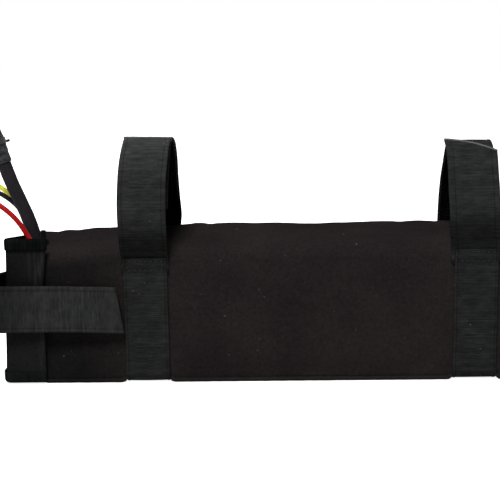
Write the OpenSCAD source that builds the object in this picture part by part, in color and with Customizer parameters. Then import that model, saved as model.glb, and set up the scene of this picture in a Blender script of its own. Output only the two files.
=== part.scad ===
// Soft-bag battery for an electric bicycle: a padded fabric bag with two webbing straps that close
// round a frame tube, an end flap held by a third strap, and a pack of cylindrical cells inside.
// X runs along the bag, Y from its front face to its back face, Z up from the surface it lies on.

/* [Cells] */
// Diameter of one cell with its sleeve
cell_d = 18.4; // [16:0.1:22]
// Length of one cell
cell_length = 65; // [60:0.5:72]
// Gap between neighbouring cells
cell_gap = 0.2; // [0.1:0.1:1]
// Cells in a column, joined in parallel
cell_rows = 4; // [3:1:5]
// Columns of cells, joined in series
cell_columns = 13; // [10:1:14]

/* [Pack layers] */
// Thickness of the nickel strips
strip_t = 0.3; // [0.15:0.05:0.6]
// Thickness of the insulating paper over the strips
paper_t = 0.3; // [0.2:0.1:0.6]
// Thickness of the shrink sleeve round the pack
wrap_t = 0.4; // [0.2:0.1:0.8]
// Free space between the pack and the bag, each side
pack_side_gap = 0.5; // [0.3:0.1:2]
// Free space above the pack
pack_top_gap = 0.4; // [0.3:0.1:3]
// Thickness of the fibre board at the pack's electronics end
end_board_t = 1; // [0.5:0.1:2]
// Thickness of the foam pad at the closed end
end_foam_t = 4; // [2:0.5:10]

/* [Bag] */
// Thickness of the padded fabric wall
fabric_t = 2; // [1.8:0.1:3]
// Outer radius of the bag's long edges
edge_r = 5; // [4:0.5:6]
// Length of the slumped end between the pack and the flap
slump_length = 89; // [80:1:110]
// Height of the bag at its mouth
mouth_height = 74.4; // [68:0.1:76]
// How far the front of the mouth is set back from the slumped end
mouth_front_setback = 13; // [10:0.5:16]
// How far the back of the mouth is set back from the slumped end
mouth_back_setback = 1; // [0.5:0.5:3]
// Width of the binding tape round the edges
binding_w = 6; // [4:0.5:9]
// Thickness of the binding tape on each side of an edge
binding_t = 0.8; // [0.5:0.1:1.2]
// Inner radius of the webbing at the bag's lower edges
strap_bend_r = 3; // [2:0.1:3.4]
// Radius of the piping round the closed end
piping_r = 1.2; // [0.8:0.1:2]

/* [Straps] */
// Width of the webbing
webbing_w = 25; // [20:1:30]
// Width of the front tabs of the mounting straps
tab_w = 28; // [22:0.5:30]
// Thickness of the webbing
webbing_t = 1.5; // [1:0.1:1.7]
// Distance between the middles of the two mounting straps
strap_spacing = 187.2; // [160:0.2:220]
// Height where the left strap leaves the bag
left_strap_top = 73.5; // [70:0.5:75]
// Height where the right strap leaves the bag
right_strap_top = 77.5; // [72:0.5:79]
// Height of the left loop above its seam
left_loop_rise = 66; // [50:1:80]
// Height of the right loop above its seam
right_loop_rise = 60; // [50:1:80]
// Gap between two layers of webbing, or between webbing and the bag
layer_gap = 0.3; // [0.2:0.1:0.6]

/* [Flap and closure] */
// Thickness of the flap
flap_t = 1.5; // [1:0.1:2]
// Height of the flap's front edge
flap_front_height = 84.5; // [80:0.5:90]
// Height of the flap's back edge
flap_back_height = 72.5; // [68:0.5:73]
// Height of the flap's lower edge above the ground
flap_lift = 0.5; // [0.3:0.1:2]
// Width of the flap's tab on the front of the bag
flap_tab_w = 23.5; // [18:0.5:26]
// Outer radius of the flap's front corner
flap_corner_r = 4; // [3:0.5:6]
// Free space between the flap and the slumped end
flap_end_gap = 5.3; // [4:0.1:8]
// Height of the closure strap's lower edge
closure_z = 32; // [20:1:45]
// Distance from the closure strap's tip to the left mounting strap
closure_clearance = 1.2; // [0.8:0.1:6]
// How much shorter the tip's upper corner is than its lower one
closure_slant = 4.2; // [0:0.2:8]
// How far the closure strap bulges out beyond the flap
closure_bulge = 18; // [14:1:24]
// How far the closure strap's bend stands in front of the bag
closure_proud = 10; // [8:0.5:14]
// Distance from the flap's edge to the hook patch
hook_patch_margin = 3; // [1:0.5:10]
// Thickness of the hook patch
hook_patch_t = 1.2; // [0.8:0.1:1.4]

/* [Electronics] */
// Free space between the protection board and the bag, front and back
board_side_gap = 4; // [3:0.5:10]
// Free space under the protection board
board_lift = 4; // [2:0.5:8]
// Free space between the protection board and the bag's full height
board_top_gap = 9.4; // [8:0.2:20]
// Thickness of the protection board
board_t = 1.6; // [1:0.1:2]
// Thickness of the aluminium plate
plate_t = 2; // [1:0.5:3]
// Height of the transistors between the plate and the board
mosfet_h = 4.5; // [3:0.5:6]
// Width of one transistor
mosfet_w = 8; // [6:0.5:9]
// Height of one transistor on the board
mosfet_l = 10; // [8:0.5:12]
// Number of transistors
mosfet_count = 5; // [3:1:6]
// Depth of the balance socket
socket_h = 6; // [4:0.5:8]
// Width of the balance socket
socket_w = 36; // [24:1:40]
// Height of the balance socket on the board
socket_l = 7; // [5:0.5:9]
// Length of the balance plug behind its socket
balance_plug_l = 4.5; // [3:0.5:8]
// Diameter of one balance wire
balance_wire_d = 1.2; // [0.8:0.1:1.6]
// Number of balance wires
balance_wires = 14; // [11:1:15]
// Diameter of the temperature probe
probe_d = 3; // [2:0.5:4]
// Length of the temperature probe
probe_l = 8; // [5:0.5:12]

/* [Cables] */
// Diameter of the sleeved discharge cable
cable_d = 8; // [6:0.1:8.2]
// Diameter of each thin wire
wire_d = 3; // [2:0.1:3.6]
// Diameter of the two leads inside the bag
lead_d = 3; // [2:0.1:3.2]
// Outer diameter of the shrink tube on the cable
boot_d = 9.2; // [8.6:0.1:10]
// Width of the cable tie
tie_w = 3.6; // [2.5:0.1:5]
// Thickness of the cable tie
tie_t = 1.2; // [0.8:0.1:2]
// Length of the cable tie's cut tail
tie_tail = 4.6; // [2:0.2:10]

/* [Connectors] */
// Length of the discharge connector
plug_l = 26; // [20:1:34]
// Width of the discharge connector
plug_w = 16; // [15:0.5:20]
// Height of the discharge connector
plug_h = 8.2; // [7.6:0.1:10]
// Radius of a discharge socket
socket_r = 1.75; // [1:0.05:2]
// Wall of a discharge socket
socket_wall = 0.6; // [0.4:0.1:1]
// Depth of a discharge socket
socket_depth = 12; // [8:0.5:16]
// Distance between the two discharge sockets
socket_pitch = 7.2; // [6.8:0.1:9]
// Length of the signal connector
signal_l = 18; // [14:1:24]
// Height of the signal connector
signal_h = 6; // [5:0.5:8]
// Wall of the signal connector
signal_wall = 1.2; // [0.8:0.1:1.4]
// Depth of the signal connector's mouth
signal_mouth = 9; // [6:0.5:12]
// Radius of a signal pin
pin_r = 0.7; // [0.4:0.05:0.9]

/* [Hidden] */
// Overrun of every cut
cut = 1;
// Far limit of half spaces used for trimming
far = 400;

// Rows and columns of cells
pitch = cell_d + cell_gap;
cells_l = (cell_columns - 1) * pitch + cell_d;
cells_h = (cell_rows - 1) * pitch + cell_d;
pack_depth = cell_length + 2 * (strip_t + paper_t + wrap_t);

// Outer size of the bag, and its closed end measured from the middle between the two straps
bag_depth = pack_depth + 2 * (pack_side_gap + fabric_t);
bag_height = cells_h + 2 * wrap_t + pack_top_gap + 2 * fabric_t;
bag_right = 172;
lining_r = pack_side_gap;
front_y = -bag_depth / 2;
back_y = bag_depth / 2;

// Places along the bag, from the closed end to the mouth
cell_margin = 0.3;
pack_right = bag_right - fabric_t - end_foam_t;
cells_left = pack_right - cell_margin - cells_l;
pack_left = cells_left - cell_margin;
slump_left = pack_left - slump_length;
slump_angle = atan((bag_height - mouth_height) / slump_length);
pack_floor = fabric_t + wrap_t;

// Electronics, stacked from the pack towards the mouth
board_right = pack_left - end_board_t;
plate_left = board_right - plate_t;
mosfet_left = plate_left - mosfet_h;
board_left = mosfet_left - board_t;
board_z = fabric_t + board_lift;
board_w = bag_depth - 2 * (fabric_t + board_side_gap);
board_h = bag_height - fabric_t - board_top_gap - board_z;
socket_z = board_z + board_h * 0.62;
socket_left = board_left - socket_h;
balance_left = socket_left - balance_plug_l;

// Foam blocks that hold the slumped end open
foam_gap = 0.3;
foam_plug_gap = 6;
foam_right_x = balance_left - foam_plug_gap;
foam_channel_w = 34;

// Flap, measured from the slumped end
flap_inner_x = slump_left - flap_end_gap;
flap_outer_x = flap_inner_x - flap_t;
flap_inner_y = front_y - layer_gap - binding_t;
flap_outer_y = flap_inner_y - flap_t;
flap_back_setback = 0.5;
flap_back_y = back_y - flap_back_setback;
flap_angle = atan((flap_front_height - flap_back_height) / bag_depth);

// Mounting straps
strap_x = strap_spacing / 2;
strap_left_edge = -strap_x - webbing_w / 2;
strap_y = back_y + layer_gap + webbing_t / 2;
hinge_step = 0.25;
strap_seam_gap = 2 * hinge_step;

// Closure strap
tip_x = strap_left_edge - closure_clearance;
closure_bend_reach = 6;
closure_bend_x = flap_outer_x - closure_bend_reach;
closure_bend_y = front_y - closure_proud;
closure_mid_y = front_y - hook_patch_t - layer_gap - webbing_t / 2;
closure_sewn_x = flap_outer_x - webbing_t / 2 - layer_gap;
patch_left = flap_outer_x + flap_tab_w + hook_patch_margin;

// Smoothing steps between two points of an outline
steps = 4;

// Route of the discharge cable, from inside the mouth to its connector on the ground
cable_route = [
    [-150, 0, 52], [-157.4, 0, 61.5], [-162.6, 0, 71], [-164.8, 0, 81], [-168, 0, 91.2],
    [-171.5, 0, 100], [-174.9, 0, 108], [-177.6, 0, 115.5], [-180, 0, 123], [-182.3, 0, 131.5],
    [-185.4, 0, 141], [-191.5, 0, 151], [-201, 0, 158.5],
    [-213, 0, 162], [-226, 0, 160.5], [-238, 0, 154], [-248, 0, 143], [-256, 0, 129],
    [-262, 0, 113], [-268, -1, 92], [-274, -3, 68], [-281, -5.5, 43],
    [-291, -8, 23], [-306, -10, 9.5], [-326, -12, 4.1], [-346, -12, 4.1]
];
// Route of the red wire
red_route = [
    [-150, -12, 60], [-158.5, -13, 69], [-164, -14, 80.5], [-170, -14, 90.5], [-178.5, -13, 98.5],
    [-190.5, -11, 105.5], [-204, -7, 110], [-218, -2, 111.5], [-232, 3, 108.5], [-244, 7, 101.5],
    [-254, 9, 92], [-262, 10, 81], [-271, 10, 64], [-279, 10, 44], [-288, 10, 24],
    [-299, 10, 9], [-316, 10, 1.5], [-346, 10, 1.5]
];
// Route of the black wire
black_route = [
    [-150, 8, 55], [-158, 8, 63], [-164.8, 8, 72], [-168.2, 8, 80.5], [-171.6, 8, 88.5],
    [-177, 9, 96.5], [-186.5, 9, 103.5],
    [-200, 11, 107.5], [-214, 13, 108], [-227, 14, 105.5], [-240, 15, 100], [-252, 15, 90],
    [-262, 15, 77], [-271, 15, 60], [-279, 15, 41], [-288, 15, 22], [-299, 15, 8],
    [-316, 15, 1.5], [-346, 15, 1.5]
];
// Route of the yellow wire
yellow_route = [
    [-150, 13, 54], [-159, 13, 62], [-166, 13, 71.5], [-169, 13, 81], [-172.3, 13, 89.5],
    [-177.8, 13, 98],
    [-186.5, 14, 106], [-199, 16, 112.5], [-212, 18, 114.5], [-226, 19, 112.5], [-239, 20, 106.5],
    [-251, 20, 97], [-261, 20, 84], [-271, 20, 66], [-279, 20, 46], [-288, 20, 26],
    [-299, 20, 10], [-316, 20, 1.5], [-346, 20, 1.5]
];
cable_sides = 10;
wire_sides = 8;

// Rings of the cable's route that the shrink tube covers, and the one at its tie
boot_first = 8;
boot_last = 10;
tie_ring = 9;

// Connector places
plug_x = cable_route[len(cable_route) - 1][0];
plug_y = cable_route[len(cable_route) - 1][1];
signal_x = black_route[len(black_route) - 1][0];
signal_y = black_route[len(black_route) - 1][1];
wire_pitch = yellow_route[len(yellow_route) - 1][1] - signal_y;
signal_w = 2 * (wire_pitch + wire_d / 2 + signal_wall);

// Left loop from its back seam over the crown to its lower end inside the tab, where it keeps
// within the circle about its seam that the closed tab leaves free:
// shares of the bag's depth from back to front, and of the loop's rise
left_loop_shares = [
    [0, 0], [0.002, 0.055], [0.02, 0.145], [0.07, 0.25], [0.13, 0.35], [0.18, 0.46], [0.21, 0.575],
    [0.23, 0.69], [0.28, 0.8], [0.36, 0.89], [0.46, 0.94], [0.56, 0.955], [0.66, 0.925],
    [0.75, 0.845], [0.83, 0.74], [0.895, 0.63], [0.95, 0.515], [0.99, 0.41]
];
// Left tab from the front seam up to the crown
left_tab_shares = [
    [1, 0], [1.025, 0.05], [1.07, 0.14], [1.105, 0.24], [1.12, 0.35], [1.117, 0.455],
    [1.092, 0.57], [1.045, 0.68], [0.972, 0.78], [0.88, 0.865], [0.777, 0.93], [0.67, 0.976]
];
// Right loop, which stands upright at the back and is creased at the crown
right_loop_shares = [
    [0, 0], [-0.002, 0.1], [0.006, 0.22], [0.035, 0.34], [0.095, 0.47], [0.176, 0.6], [0.27, 0.735],
    [0.361, 0.85], [0.439, 0.913], [0.52, 0.935], [0.6, 0.915], [0.665, 0.865], [0.727, 0.79],
    [0.78, 0.705], [0.826, 0.61], [0.865, 0.515], [0.9, 0.43], [0.925, 0.36]
];
// Right tab, which leans back a little from its front seam to the crown
right_tab_shares = [
    [1, 0], [1.001, 0.05], [1.007, 0.125], [1.013, 0.2], [1.005, 0.283], [0.979, 0.375],
    [0.941, 0.475], [0.9, 0.583], [0.862, 0.687], [0.824, 0.783], [0.774, 0.867], [0.696, 0.927],
    [0.628, 0.96]
];

cell_nodes = [for (i = [1:cell_columns]) cell_name(i)];

function cell_name(i) = str("cell_group_", i < 10 ? "0" : "", i);
function unit(v) = v / norm(v);

// Smooth curve through hand-set points
function curve_point(a, b, c, d, t) =
    0.5 * (2 * b + (c - a) * t + (2 * a - 5 * b + 4 * c - d) * t * t
    + (3 * b - a - 3 * c + d) * t * t * t);
function smooth(pts) = concat(
    [for (i = [0:len(pts) - 2], k = [0:steps - 1])
        curve_point(pts[max(i - 1, 0)], pts[i], pts[i + 1], pts[min(i + 2, len(pts) - 1)],
            k / steps)],
    [pts[len(pts) - 1]]);

function direction(pts, i) = unit(pts[min(i + 1, len(pts) - 1)] - pts[max(i - 1, 0)]);
function side(pts, i) = let (d = direction(pts, i)) [-d[1], d[0]];

// Outline of a band of even thickness along a curve
function band_outline(pts, t) = concat(
    [for (i = [0:len(pts) - 1]) pts[i] + side(pts, i) * t / 2],
    [for (i = [len(pts) - 1:-1:0]) pts[i] - side(pts, i) * t / 2]);

// Rings that follow a route without twisting
function ring_starts(pts, i, last) = i == len(pts) ? [] :
    let (d = direction(pts, i), n = unit(last - (last * d) * d))
    concat([n], ring_starts(pts, i + 1, n));

module tube(route, d, sides) {
    starts = ring_starts(route, 0, [0, 1, 0]);
    points = [for (i = [0:len(route) - 1], k = [0:sides - 1])
        let (n = starts[i], m = cross(direction(route, i), n), a = 360 * (k + 0.5) / sides)
        route[i] + d / 2 * (cos(a) * n + sin(a) * m)];
    last = (len(route) - 1) * sides;
    walls = [for (i = [0:len(route) - 2], k = [0:sides - 1], half = [0, 1])
        let (a = i * sides + k, b = i * sides + (k + 1) % sides)
        half == 0 ? [a, b, b + sides] : [a, b + sides, a + sides]];
    polyhedron(concat(points), concat(
        [[for (k = [sides - 1:-1:0]) k]], walls, [[for (k = [0:sides - 1]) last + k]]));
}

module rounded_rect(w, h, r) {
    translate([-w / 2 + r, 0]) square([w - 2 * r, h]);
    translate([-w / 2, r]) square([w, h - 2 * r]);
    for (x = [-w / 2 + r, w / 2 - r], y = [r, h - r])
        translate([x, y]) circle(r = r, $fn = 48);
}

// Turns an outline drawn in Y and Z into a solid along X
module along_x(x, length) {
    translate([x, 0, 0]) rotate([90, 0, 90]) linear_extrude(height = length) children();
}

module block(x, y, z, size) {
    translate([x, y, z]) cube(size);
}

// Solid of the bag, drawn in by an inset on every side
module bag_solid(x, length, inset, r) {
    difference() {
        along_x(x, length) translate([0, inset])
            rounded_rect(bag_depth - 2 * inset, bag_height - 2 * inset, r);
        translate([pack_left, 0, bag_height - inset]) rotate([0, -slump_angle, 0])
            translate([-far, -far / 2, 0]) cube([far, far, far]);
    }
}

module bag_sleeve() {
    length = bag_right - slump_left;
    color([0.14, 0.12, 0.12]) difference() {
        bag_solid(slump_left, length, 0, edge_r);
        bag_solid(slump_left - cut, length + 2 * cut, fabric_t, lining_r);
        translate([0, 0, -cut]) linear_extrude(height = bag_height + 2 * cut) polygon([
            [slump_left - cut, front_y - cut],
            [slump_left + mouth_front_setback, front_y - cut],
            [slump_left + mouth_back_setback, back_y - fabric_t],
            [slump_left - cut, back_y - fabric_t]]);
        for (x = [-strap_x, strap_x]) strap_channel(x);
    }
}

// Room that a strap presses into the bag's underside
module strap_channel(x) {
    w = webbing_w + 2 * layer_gap;
    along_x(x - w / 2, w) difference() {
        translate([-bag_depth / 2 - cut, -cut]) square([bag_depth + 2 * cut, edge_r + webbing_t + cut]);
        translate([0, webbing_t]) rounded_rect(bag_depth, bag_height, strap_bend_r);
    }
}

module bag_end_panel() {
    color([0.13, 0.12, 0.12]) bag_solid(bag_right - fabric_t, fabric_t, fabric_t, lining_r);
}

module end_piping() {
    color([0.08, 0.08, 0.08]) difference() {
        along_x(bag_right, piping_r) rounded_rect(bag_depth, bag_height, edge_r);
        along_x(bag_right - cut, piping_r + 2 * cut) translate([0, 2 * piping_r])
            rounded_rect(bag_depth - 4 * piping_r, bag_height - 4 * piping_r, edge_r - 2 * piping_r);
    }
}

// Tape on the top and back edges of the mouth, which lies on the outside of the wall
module mouth_binding() {
    back_step = [slump_left + mouth_back_setback, back_y - edge_r];
    front_step = [slump_left + mouth_front_setback, front_y + edge_r];
    color([0.08, 0.085, 0.085]) intersection() {
        difference() {
            bag_solid(slump_left, slump_length, -binding_t, edge_r + binding_t);
            bag_solid(slump_left - cut, slump_length + 2 * cut, 0, edge_r);
        }
        translate([0, 0, mouth_height - 2 * edge_r]) linear_extrude(height = 4 * edge_r) polygon([
            front_step, back_step, back_step + [binding_w, 0], front_step + [binding_w, 0]]);
    }
}

module hook_patch() {
    color([0.07, 0.07, 0.07])
        block(patch_left, front_y - hook_patch_t, closure_z + layer_gap,
            [tip_x - closure_slant - patch_left, hook_patch_t, webbing_w - 2 * layer_gap]);
}

// Outline of the flap seen from above: the end panel, a round corner and the tab
module flap_outline(grow) {
    r = flap_corner_r;
    corner = [flap_outer_x + r, flap_outer_y + r];
    translate([flap_outer_x - grow, corner[1]])
        square([flap_t + 2 * grow, flap_back_y - corner[1]]);
    translate([corner[0], flap_outer_y - grow])
        square([flap_tab_w - r, flap_t + 2 * grow]);
    intersection() {
        translate(corner) difference() {
            circle(r = r + grow, $fn = 48);
            circle(r = r - flap_t - grow, $fn = 48);
        }
        translate(corner - [r + grow, r + grow]) square([r + grow, r + grow]);
    }
}

// Space below the flap's sloping upper edge, lowered by a drop
module below_flap_edge(drop) {
    translate([0, front_y, flap_front_height - drop]) rotate([-flap_angle, 0, 0])
        translate([-far, -cut, -far]) cube([2 * far, far, far]);
    translate([-far, front_y - far + cut, flap_front_height - drop - far])
        cube([2 * far, far - cut, far]);
}

module flap_solid(grow, z, drop) {
    intersection() {
        translate([0, 0, z]) linear_extrude(height = flap_front_height - z) flap_outline(grow);
        below_flap_edge(drop);
    }
}

module end_flap() {
    color([0.12, 0.12, 0.12]) flap_solid(0, flap_lift + binding_t, binding_t);
}

module flap_top_binding() {
    color([0.08, 0.085, 0.085]) difference() {
        flap_solid(binding_t, flap_lift, 0);
        flap_solid(0, flap_lift - cut, binding_t);
        flap_solid(binding_t + cut, flap_lift - cut, binding_w);
    }
}

module flap_bottom_binding() {
    color([0.08, 0.085, 0.085]) difference() {
        translate([0, 0, flap_lift]) linear_extrude(height = binding_w) flap_outline(binding_t);
        translate([0, 0, flap_lift + binding_t]) linear_extrude(height = binding_w)
            flap_outline(0);
    }
}

// Closure strap seen from above, from its seam on the end panel to its front bend
closure_loop_points = [
    [closure_sewn_x, back_y * 0.6], [closure_sewn_x, back_y * 0.38], [closure_sewn_x, back_y * 0.2],
    [closure_sewn_x - closure_bulge * 0.16, -back_y * 0.06],
    [closure_sewn_x - closure_bulge * 0.48, -back_y * 0.36],
    [closure_sewn_x - closure_bulge * 0.83, -back_y * 0.7],
    [closure_sewn_x - closure_bulge, -back_y],
    [closure_sewn_x - closure_bulge * 0.72, closure_bend_y + webbing_t * 0.6],
    [closure_bend_x, closure_bend_y]
];
closure_run = tip_x - closure_bend_x;
closure_drop = closure_mid_y - closure_bend_y;
closure_tip_shares = [[0, 0], [0.17, 0.24], [0.35, 0.57], [0.52, 0.82], [0.75, 0.97], [1, 1]];
closure_tip_points = [for (s = closure_tip_shares)
    [closure_bend_x + strap_seam_gap + (closure_run - strap_seam_gap) * s[0],
     closure_bend_y + closure_drop * s[1]]];

module closure_strap() {
    color([0.14, 0.14, 0.14]) translate([0, 0, closure_z]) linear_extrude(height = webbing_w)
        polygon(band_outline(smooth(closure_loop_points), webbing_t));
}

module closure_strap_tip() {
    color([0.14, 0.14, 0.14]) difference() {
        translate([0, 0, closure_z]) linear_extrude(height = webbing_w)
            polygon(band_outline(smooth(closure_tip_points), webbing_t));
        translate([tip_x, 0, closure_z]) rotate([0, -atan(closure_slant / webbing_w), 0])
            translate([0, -far, -webbing_w]) cube([webbing_w, 2 * far, 3 * webbing_w]);
    }
}

// Webbing sewn to the front, underside and back of the bag
module strap_base(x, top) {
    color([0.14, 0.14, 0.14]) along_x(x - webbing_w / 2, webbing_w) intersection() {
        difference() {
            rounded_rect(bag_depth + 2 * webbing_t, bag_height + 2 * edge_r,
                strap_bend_r + webbing_t);
            translate([0, webbing_t]) rounded_rect(bag_depth, bag_height + 2 * edge_r, strap_bend_r);
        }
        translate([-bag_depth, 0]) square([2 * bag_depth, top]);
    }
}

function strap_points(shares, top, rise) = [for (s = shares)
    [strap_y - 2 * strap_y * s[0], top + strap_seam_gap + rise * s[1]]];

module strap_band(x, w, shares, top, rise) {
    color([0.14, 0.14, 0.14]) along_x(x - w / 2, w)
        polygon(band_outline(smooth(strap_points(shares, top, rise)), webbing_t));
}

module left_strap_base() { strap_base(-strap_x, left_strap_top); }
module left_strap_tab() {
    strap_band(-strap_x, tab_w, left_tab_shares, left_strap_top, left_loop_rise);
}
module left_strap_loop() {
    strap_band(-strap_x, webbing_w, left_loop_shares, left_strap_top, left_loop_rise);
}
module right_strap_base() { strap_base(strap_x, right_strap_top); }
module right_strap_tab() {
    strap_band(strap_x, tab_w, right_tab_shares, right_strap_top, right_loop_rise);
}
module right_strap_loop() {
    strap_band(strap_x, webbing_w, right_loop_shares, right_strap_top, right_loop_rise);
}

function column_x(i) = cells_left + cell_d / 2 + (i - 1) * pitch;
function row_z(j) = pack_floor + cell_d / 2 + j * pitch;

// One cell along Y, with its positive end to the front or to the back
module cell(forward) {
    cap_r = cell_d * 0.26;
    cap_h = cell_length * 0.012;
    turn = forward ? 90 : -90;
    rotate([turn, 0, 0]) translate([0, 0, -cell_length / 2]) {
        cylinder(d = cell_d, h = cell_length - cap_h, $fn = 48);
        translate([0, 0, cell_length - cap_h]) cylinder(r = cap_r, h = cap_h, $fn = 48);
    }
}

// A column of cells that face the same way
module cell_group(i) {
    color([0.15, 0.4, 0.55]) for (j = [0:cell_rows - 1])
        translate([column_x(i), 0, row_z(j)]) cell(i % 2 == 1);
}

// A nickel plate that joins the columns from one to another
module nickel_plate(first, last, y) {
    w = cell_d * 0.5;
    x = column_x(first) - w / 2;
    block(x, y, row_z(0) - w / 2,
        [column_x(last) + w / 2 - x, strip_t, row_z(cell_rows - 1) - row_z(0) + w]);
}

module front_nickel_strips() {
    color([0.75, 0.74, 0.72]) for (i = [1:2:cell_columns])
        nickel_plate(i, min(i + 1, cell_columns), -cell_length / 2 - strip_t);
}

module back_nickel_strips() {
    color([0.75, 0.74, 0.72]) {
        nickel_plate(1, 1, cell_length / 2);
        for (i = [2:2:cell_columns]) nickel_plate(i, min(i + 1, cell_columns), cell_length / 2);
    }
}

module insulation(y) {
    color([0.55, 0.62, 0.5]) block(cells_left, y, pack_floor, [cells_l, paper_t, cells_h]);
}
module front_insulation() { insulation(-cell_length / 2 - strip_t - paper_t); }
module back_insulation() { insulation(cell_length / 2 + strip_t); }

module pack_wrap() {
    length = pack_right - pack_left;
    inner = pack_depth - 2 * wrap_t;
    color([0.1, 0.25, 0.5]) difference() {
        block(pack_left, -pack_depth / 2, fabric_t, [length, pack_depth, cells_h + 2 * wrap_t]);
        block(pack_left - cut, -inner / 2, pack_floor, [length + 2 * cut, inner, cells_h]);
    }
}

module end_foam() {
    color([0.2, 0.2, 0.2])
        block(pack_right, -pack_depth / 2, fabric_t, [end_foam_t, pack_depth, cells_h + 2 * wrap_t]);
}

module end_board() {
    color([0.6, 0.55, 0.4])
        block(board_right, -pack_depth / 2, fabric_t, [end_board_t, pack_depth, cells_h]);
}

module foam_block(y, w) {
    color([0.22, 0.22, 0.22]) intersection() {
        block(slump_left + mouth_front_setback, y, fabric_t,
            [foam_right_x - slump_left - mouth_front_setback, w, bag_height]);
        bag_solid(slump_left - cut, slump_length, fabric_t + foam_gap, lining_r);
    }
}
module front_foam_block() {
    foam_block(front_y + fabric_t + foam_gap,
        (bag_depth - foam_channel_w) / 2 - fabric_t - foam_gap);
}
module back_foam_block() {
    foam_block(foam_channel_w / 2, (bag_depth - foam_channel_w) / 2 - fabric_t - foam_gap);
}

module bms_plate() {
    color([0.7, 0.71, 0.72])
        block(plate_left, -board_w / 2, fabric_t, [plate_t, board_w, board_z - fabric_t + board_h]);
}

module bms_transistors() {
    step = board_w / mosfet_count;
    color([0.08, 0.08, 0.08]) for (i = [0:mosfet_count - 1])
        block(mosfet_left, -board_w / 2 + step * (i + 0.5) - mosfet_w / 2, board_z + board_h * 0.1,
            [mosfet_h, mosfet_w, mosfet_l]);
}

module bms_board() {
    color([0.1, 0.3, 0.15]) block(board_left, -board_w / 2, board_z, [board_t, board_w, board_h]);
}

module balance_socket() {
    color([0.9, 0.88, 0.8])
        block(socket_left, -socket_w / 2, socket_z, [socket_h, socket_w, socket_l]);
}

module balance_plug() {
    w = socket_w * 0.94;
    h = socket_l * 0.8;
    color([0.92, 0.9, 0.84])
        block(balance_left, -w / 2, socket_z + (socket_l - h) / 2, [balance_plug_l, w, h]);
}

// Fourteen thin wires from the plug up and back over the board to the pack
module balance_wires() {
    step = socket_w * 0.9 / balance_wires;
    z = socket_z + socket_l / 2;
    top = board_z + board_h + 2 * balance_wire_d;
    r = balance_wire_d;
    color([0.75, 0.72, 0.2]) for (i = [0:balance_wires - 1]) {
        y = -step * (balance_wires - 1) / 2 + step * i;
        tube([[balance_left, y, z], [balance_left - r, y, z], [balance_left - 2 * r, y, z + r],
              [balance_left - 2 * r, y, top - r], [balance_left - r, y, top],
              [board_right, y, top]], balance_wire_d, 6);
    }
}

module temperature_probe() {
    color([0.05, 0.05, 0.05])
        translate([board_left - probe_d / 2, -board_w * 0.36, board_z + board_h * 0.35])
            cylinder(d = probe_d, h = probe_l, $fn = 24);
}

// A lead from its pad on the board to the start of the discharge cable
module lead(side) {
    y = side * board_w * 0.2;
    start = cable_route[0];
    back = unit(start - cable_route[1]);
    end = start + [0, side * lead_d / 2, 0];
    reach = end + back * 2 * lead_d;
    z = board_z + board_h * 0.3;
    tube([[board_left, y, z], [board_left - 3 * lead_d, y, z],
          [board_left - 6 * lead_d, y * 0.8, z + lead_d],
          (reach + [board_left, y, z]) / 2 + [0, 0, lead_d], reach, end], lead_d, wire_sides);
}
module positive_lead() { color([0.75, 0.05, 0.05]) lead(1); }
module negative_lead() { color([0.06, 0.06, 0.06]) lead(-1); }

module discharge_cable() {
    color([0.06, 0.06, 0.06]) tube(cable_route, cable_d, cable_sides);
}

module cable_boot() {
    color([0.35, 0.36, 0.37])
        tube([for (i = [boot_first:boot_last]) cable_route[i]], boot_d, cable_sides);
}

// A ring round the shrink tube, with its head behind it and a short cut tail to the right
module cable_tie() {
    d = unit(cable_route[tie_ring + 1] - cable_route[tie_ring]);
    lean = atan2(d[0], d[2]);
    head = 2 * tie_w;
    color([0.05, 0.05, 0.05])
        translate(cable_route[tie_ring] + d * tie_w) rotate([0, lean, 0]) {
            difference() {
                cylinder(d = boot_d + 2 * tie_t, h = tie_w, $fn = 32);
                translate([0, 0, -cut]) cylinder(d = boot_d, h = tie_w + 2 * cut, $fn = 32);
            }
            block(-head / 4, boot_d / 2 + tie_t / 2, -tie_w * 0.1, [head / 2, head / 2, tie_w * 1.2]);
            block(head / 4, boot_d / 2 + tie_t, 0, [tie_tail, tie_t, tie_w]);
        }
}

module discharge_socket_places() {
    for (side = [-1, 1]) translate([plug_x - plug_l, plug_y + side * socket_pitch / 2, plug_h / 2])
        rotate([0, 90, 0]) children();
}

// Connector body with two round holes for its contacts and a collar at the cable
module discharge_plug() {
    collar_l = plug_l * 0.22;
    collar_w = plug_w * 0.7;
    color([0.75, 0.55, 0.05]) difference() {
        union() {
            block(plug_x - plug_l, plug_y - plug_w / 2, 0, [plug_l - collar_l, plug_w, plug_h]);
            block(plug_x - collar_l, plug_y - collar_w / 2, 0, [collar_l, collar_w, plug_h * 0.84]);
        }
        discharge_socket_places() translate([0, 0, -cut])
            cylinder(r = socket_r + socket_wall, h = socket_depth + cut, $fn = 32);
    }
}

module discharge_contacts() {
    color([0.8, 0.65, 0.3]) discharge_socket_places() difference() {
        cylinder(r = socket_r + socket_wall, h = socket_depth, $fn = 32);
        translate([0, 0, -cut]) cylinder(r = socket_r, h = socket_depth + 2 * cut, $fn = 32);
    }
}

module red_wire() { color([0.8, 0.03, 0.03]) tube(red_route, wire_d, wire_sides); }
module black_wire() { color([0.05, 0.05, 0.05]) tube(black_route, wire_d, wire_sides); }
module yellow_wire() { color([0.95, 0.85, 0.05]) tube(yellow_route, wire_d, wire_sides); }

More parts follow.
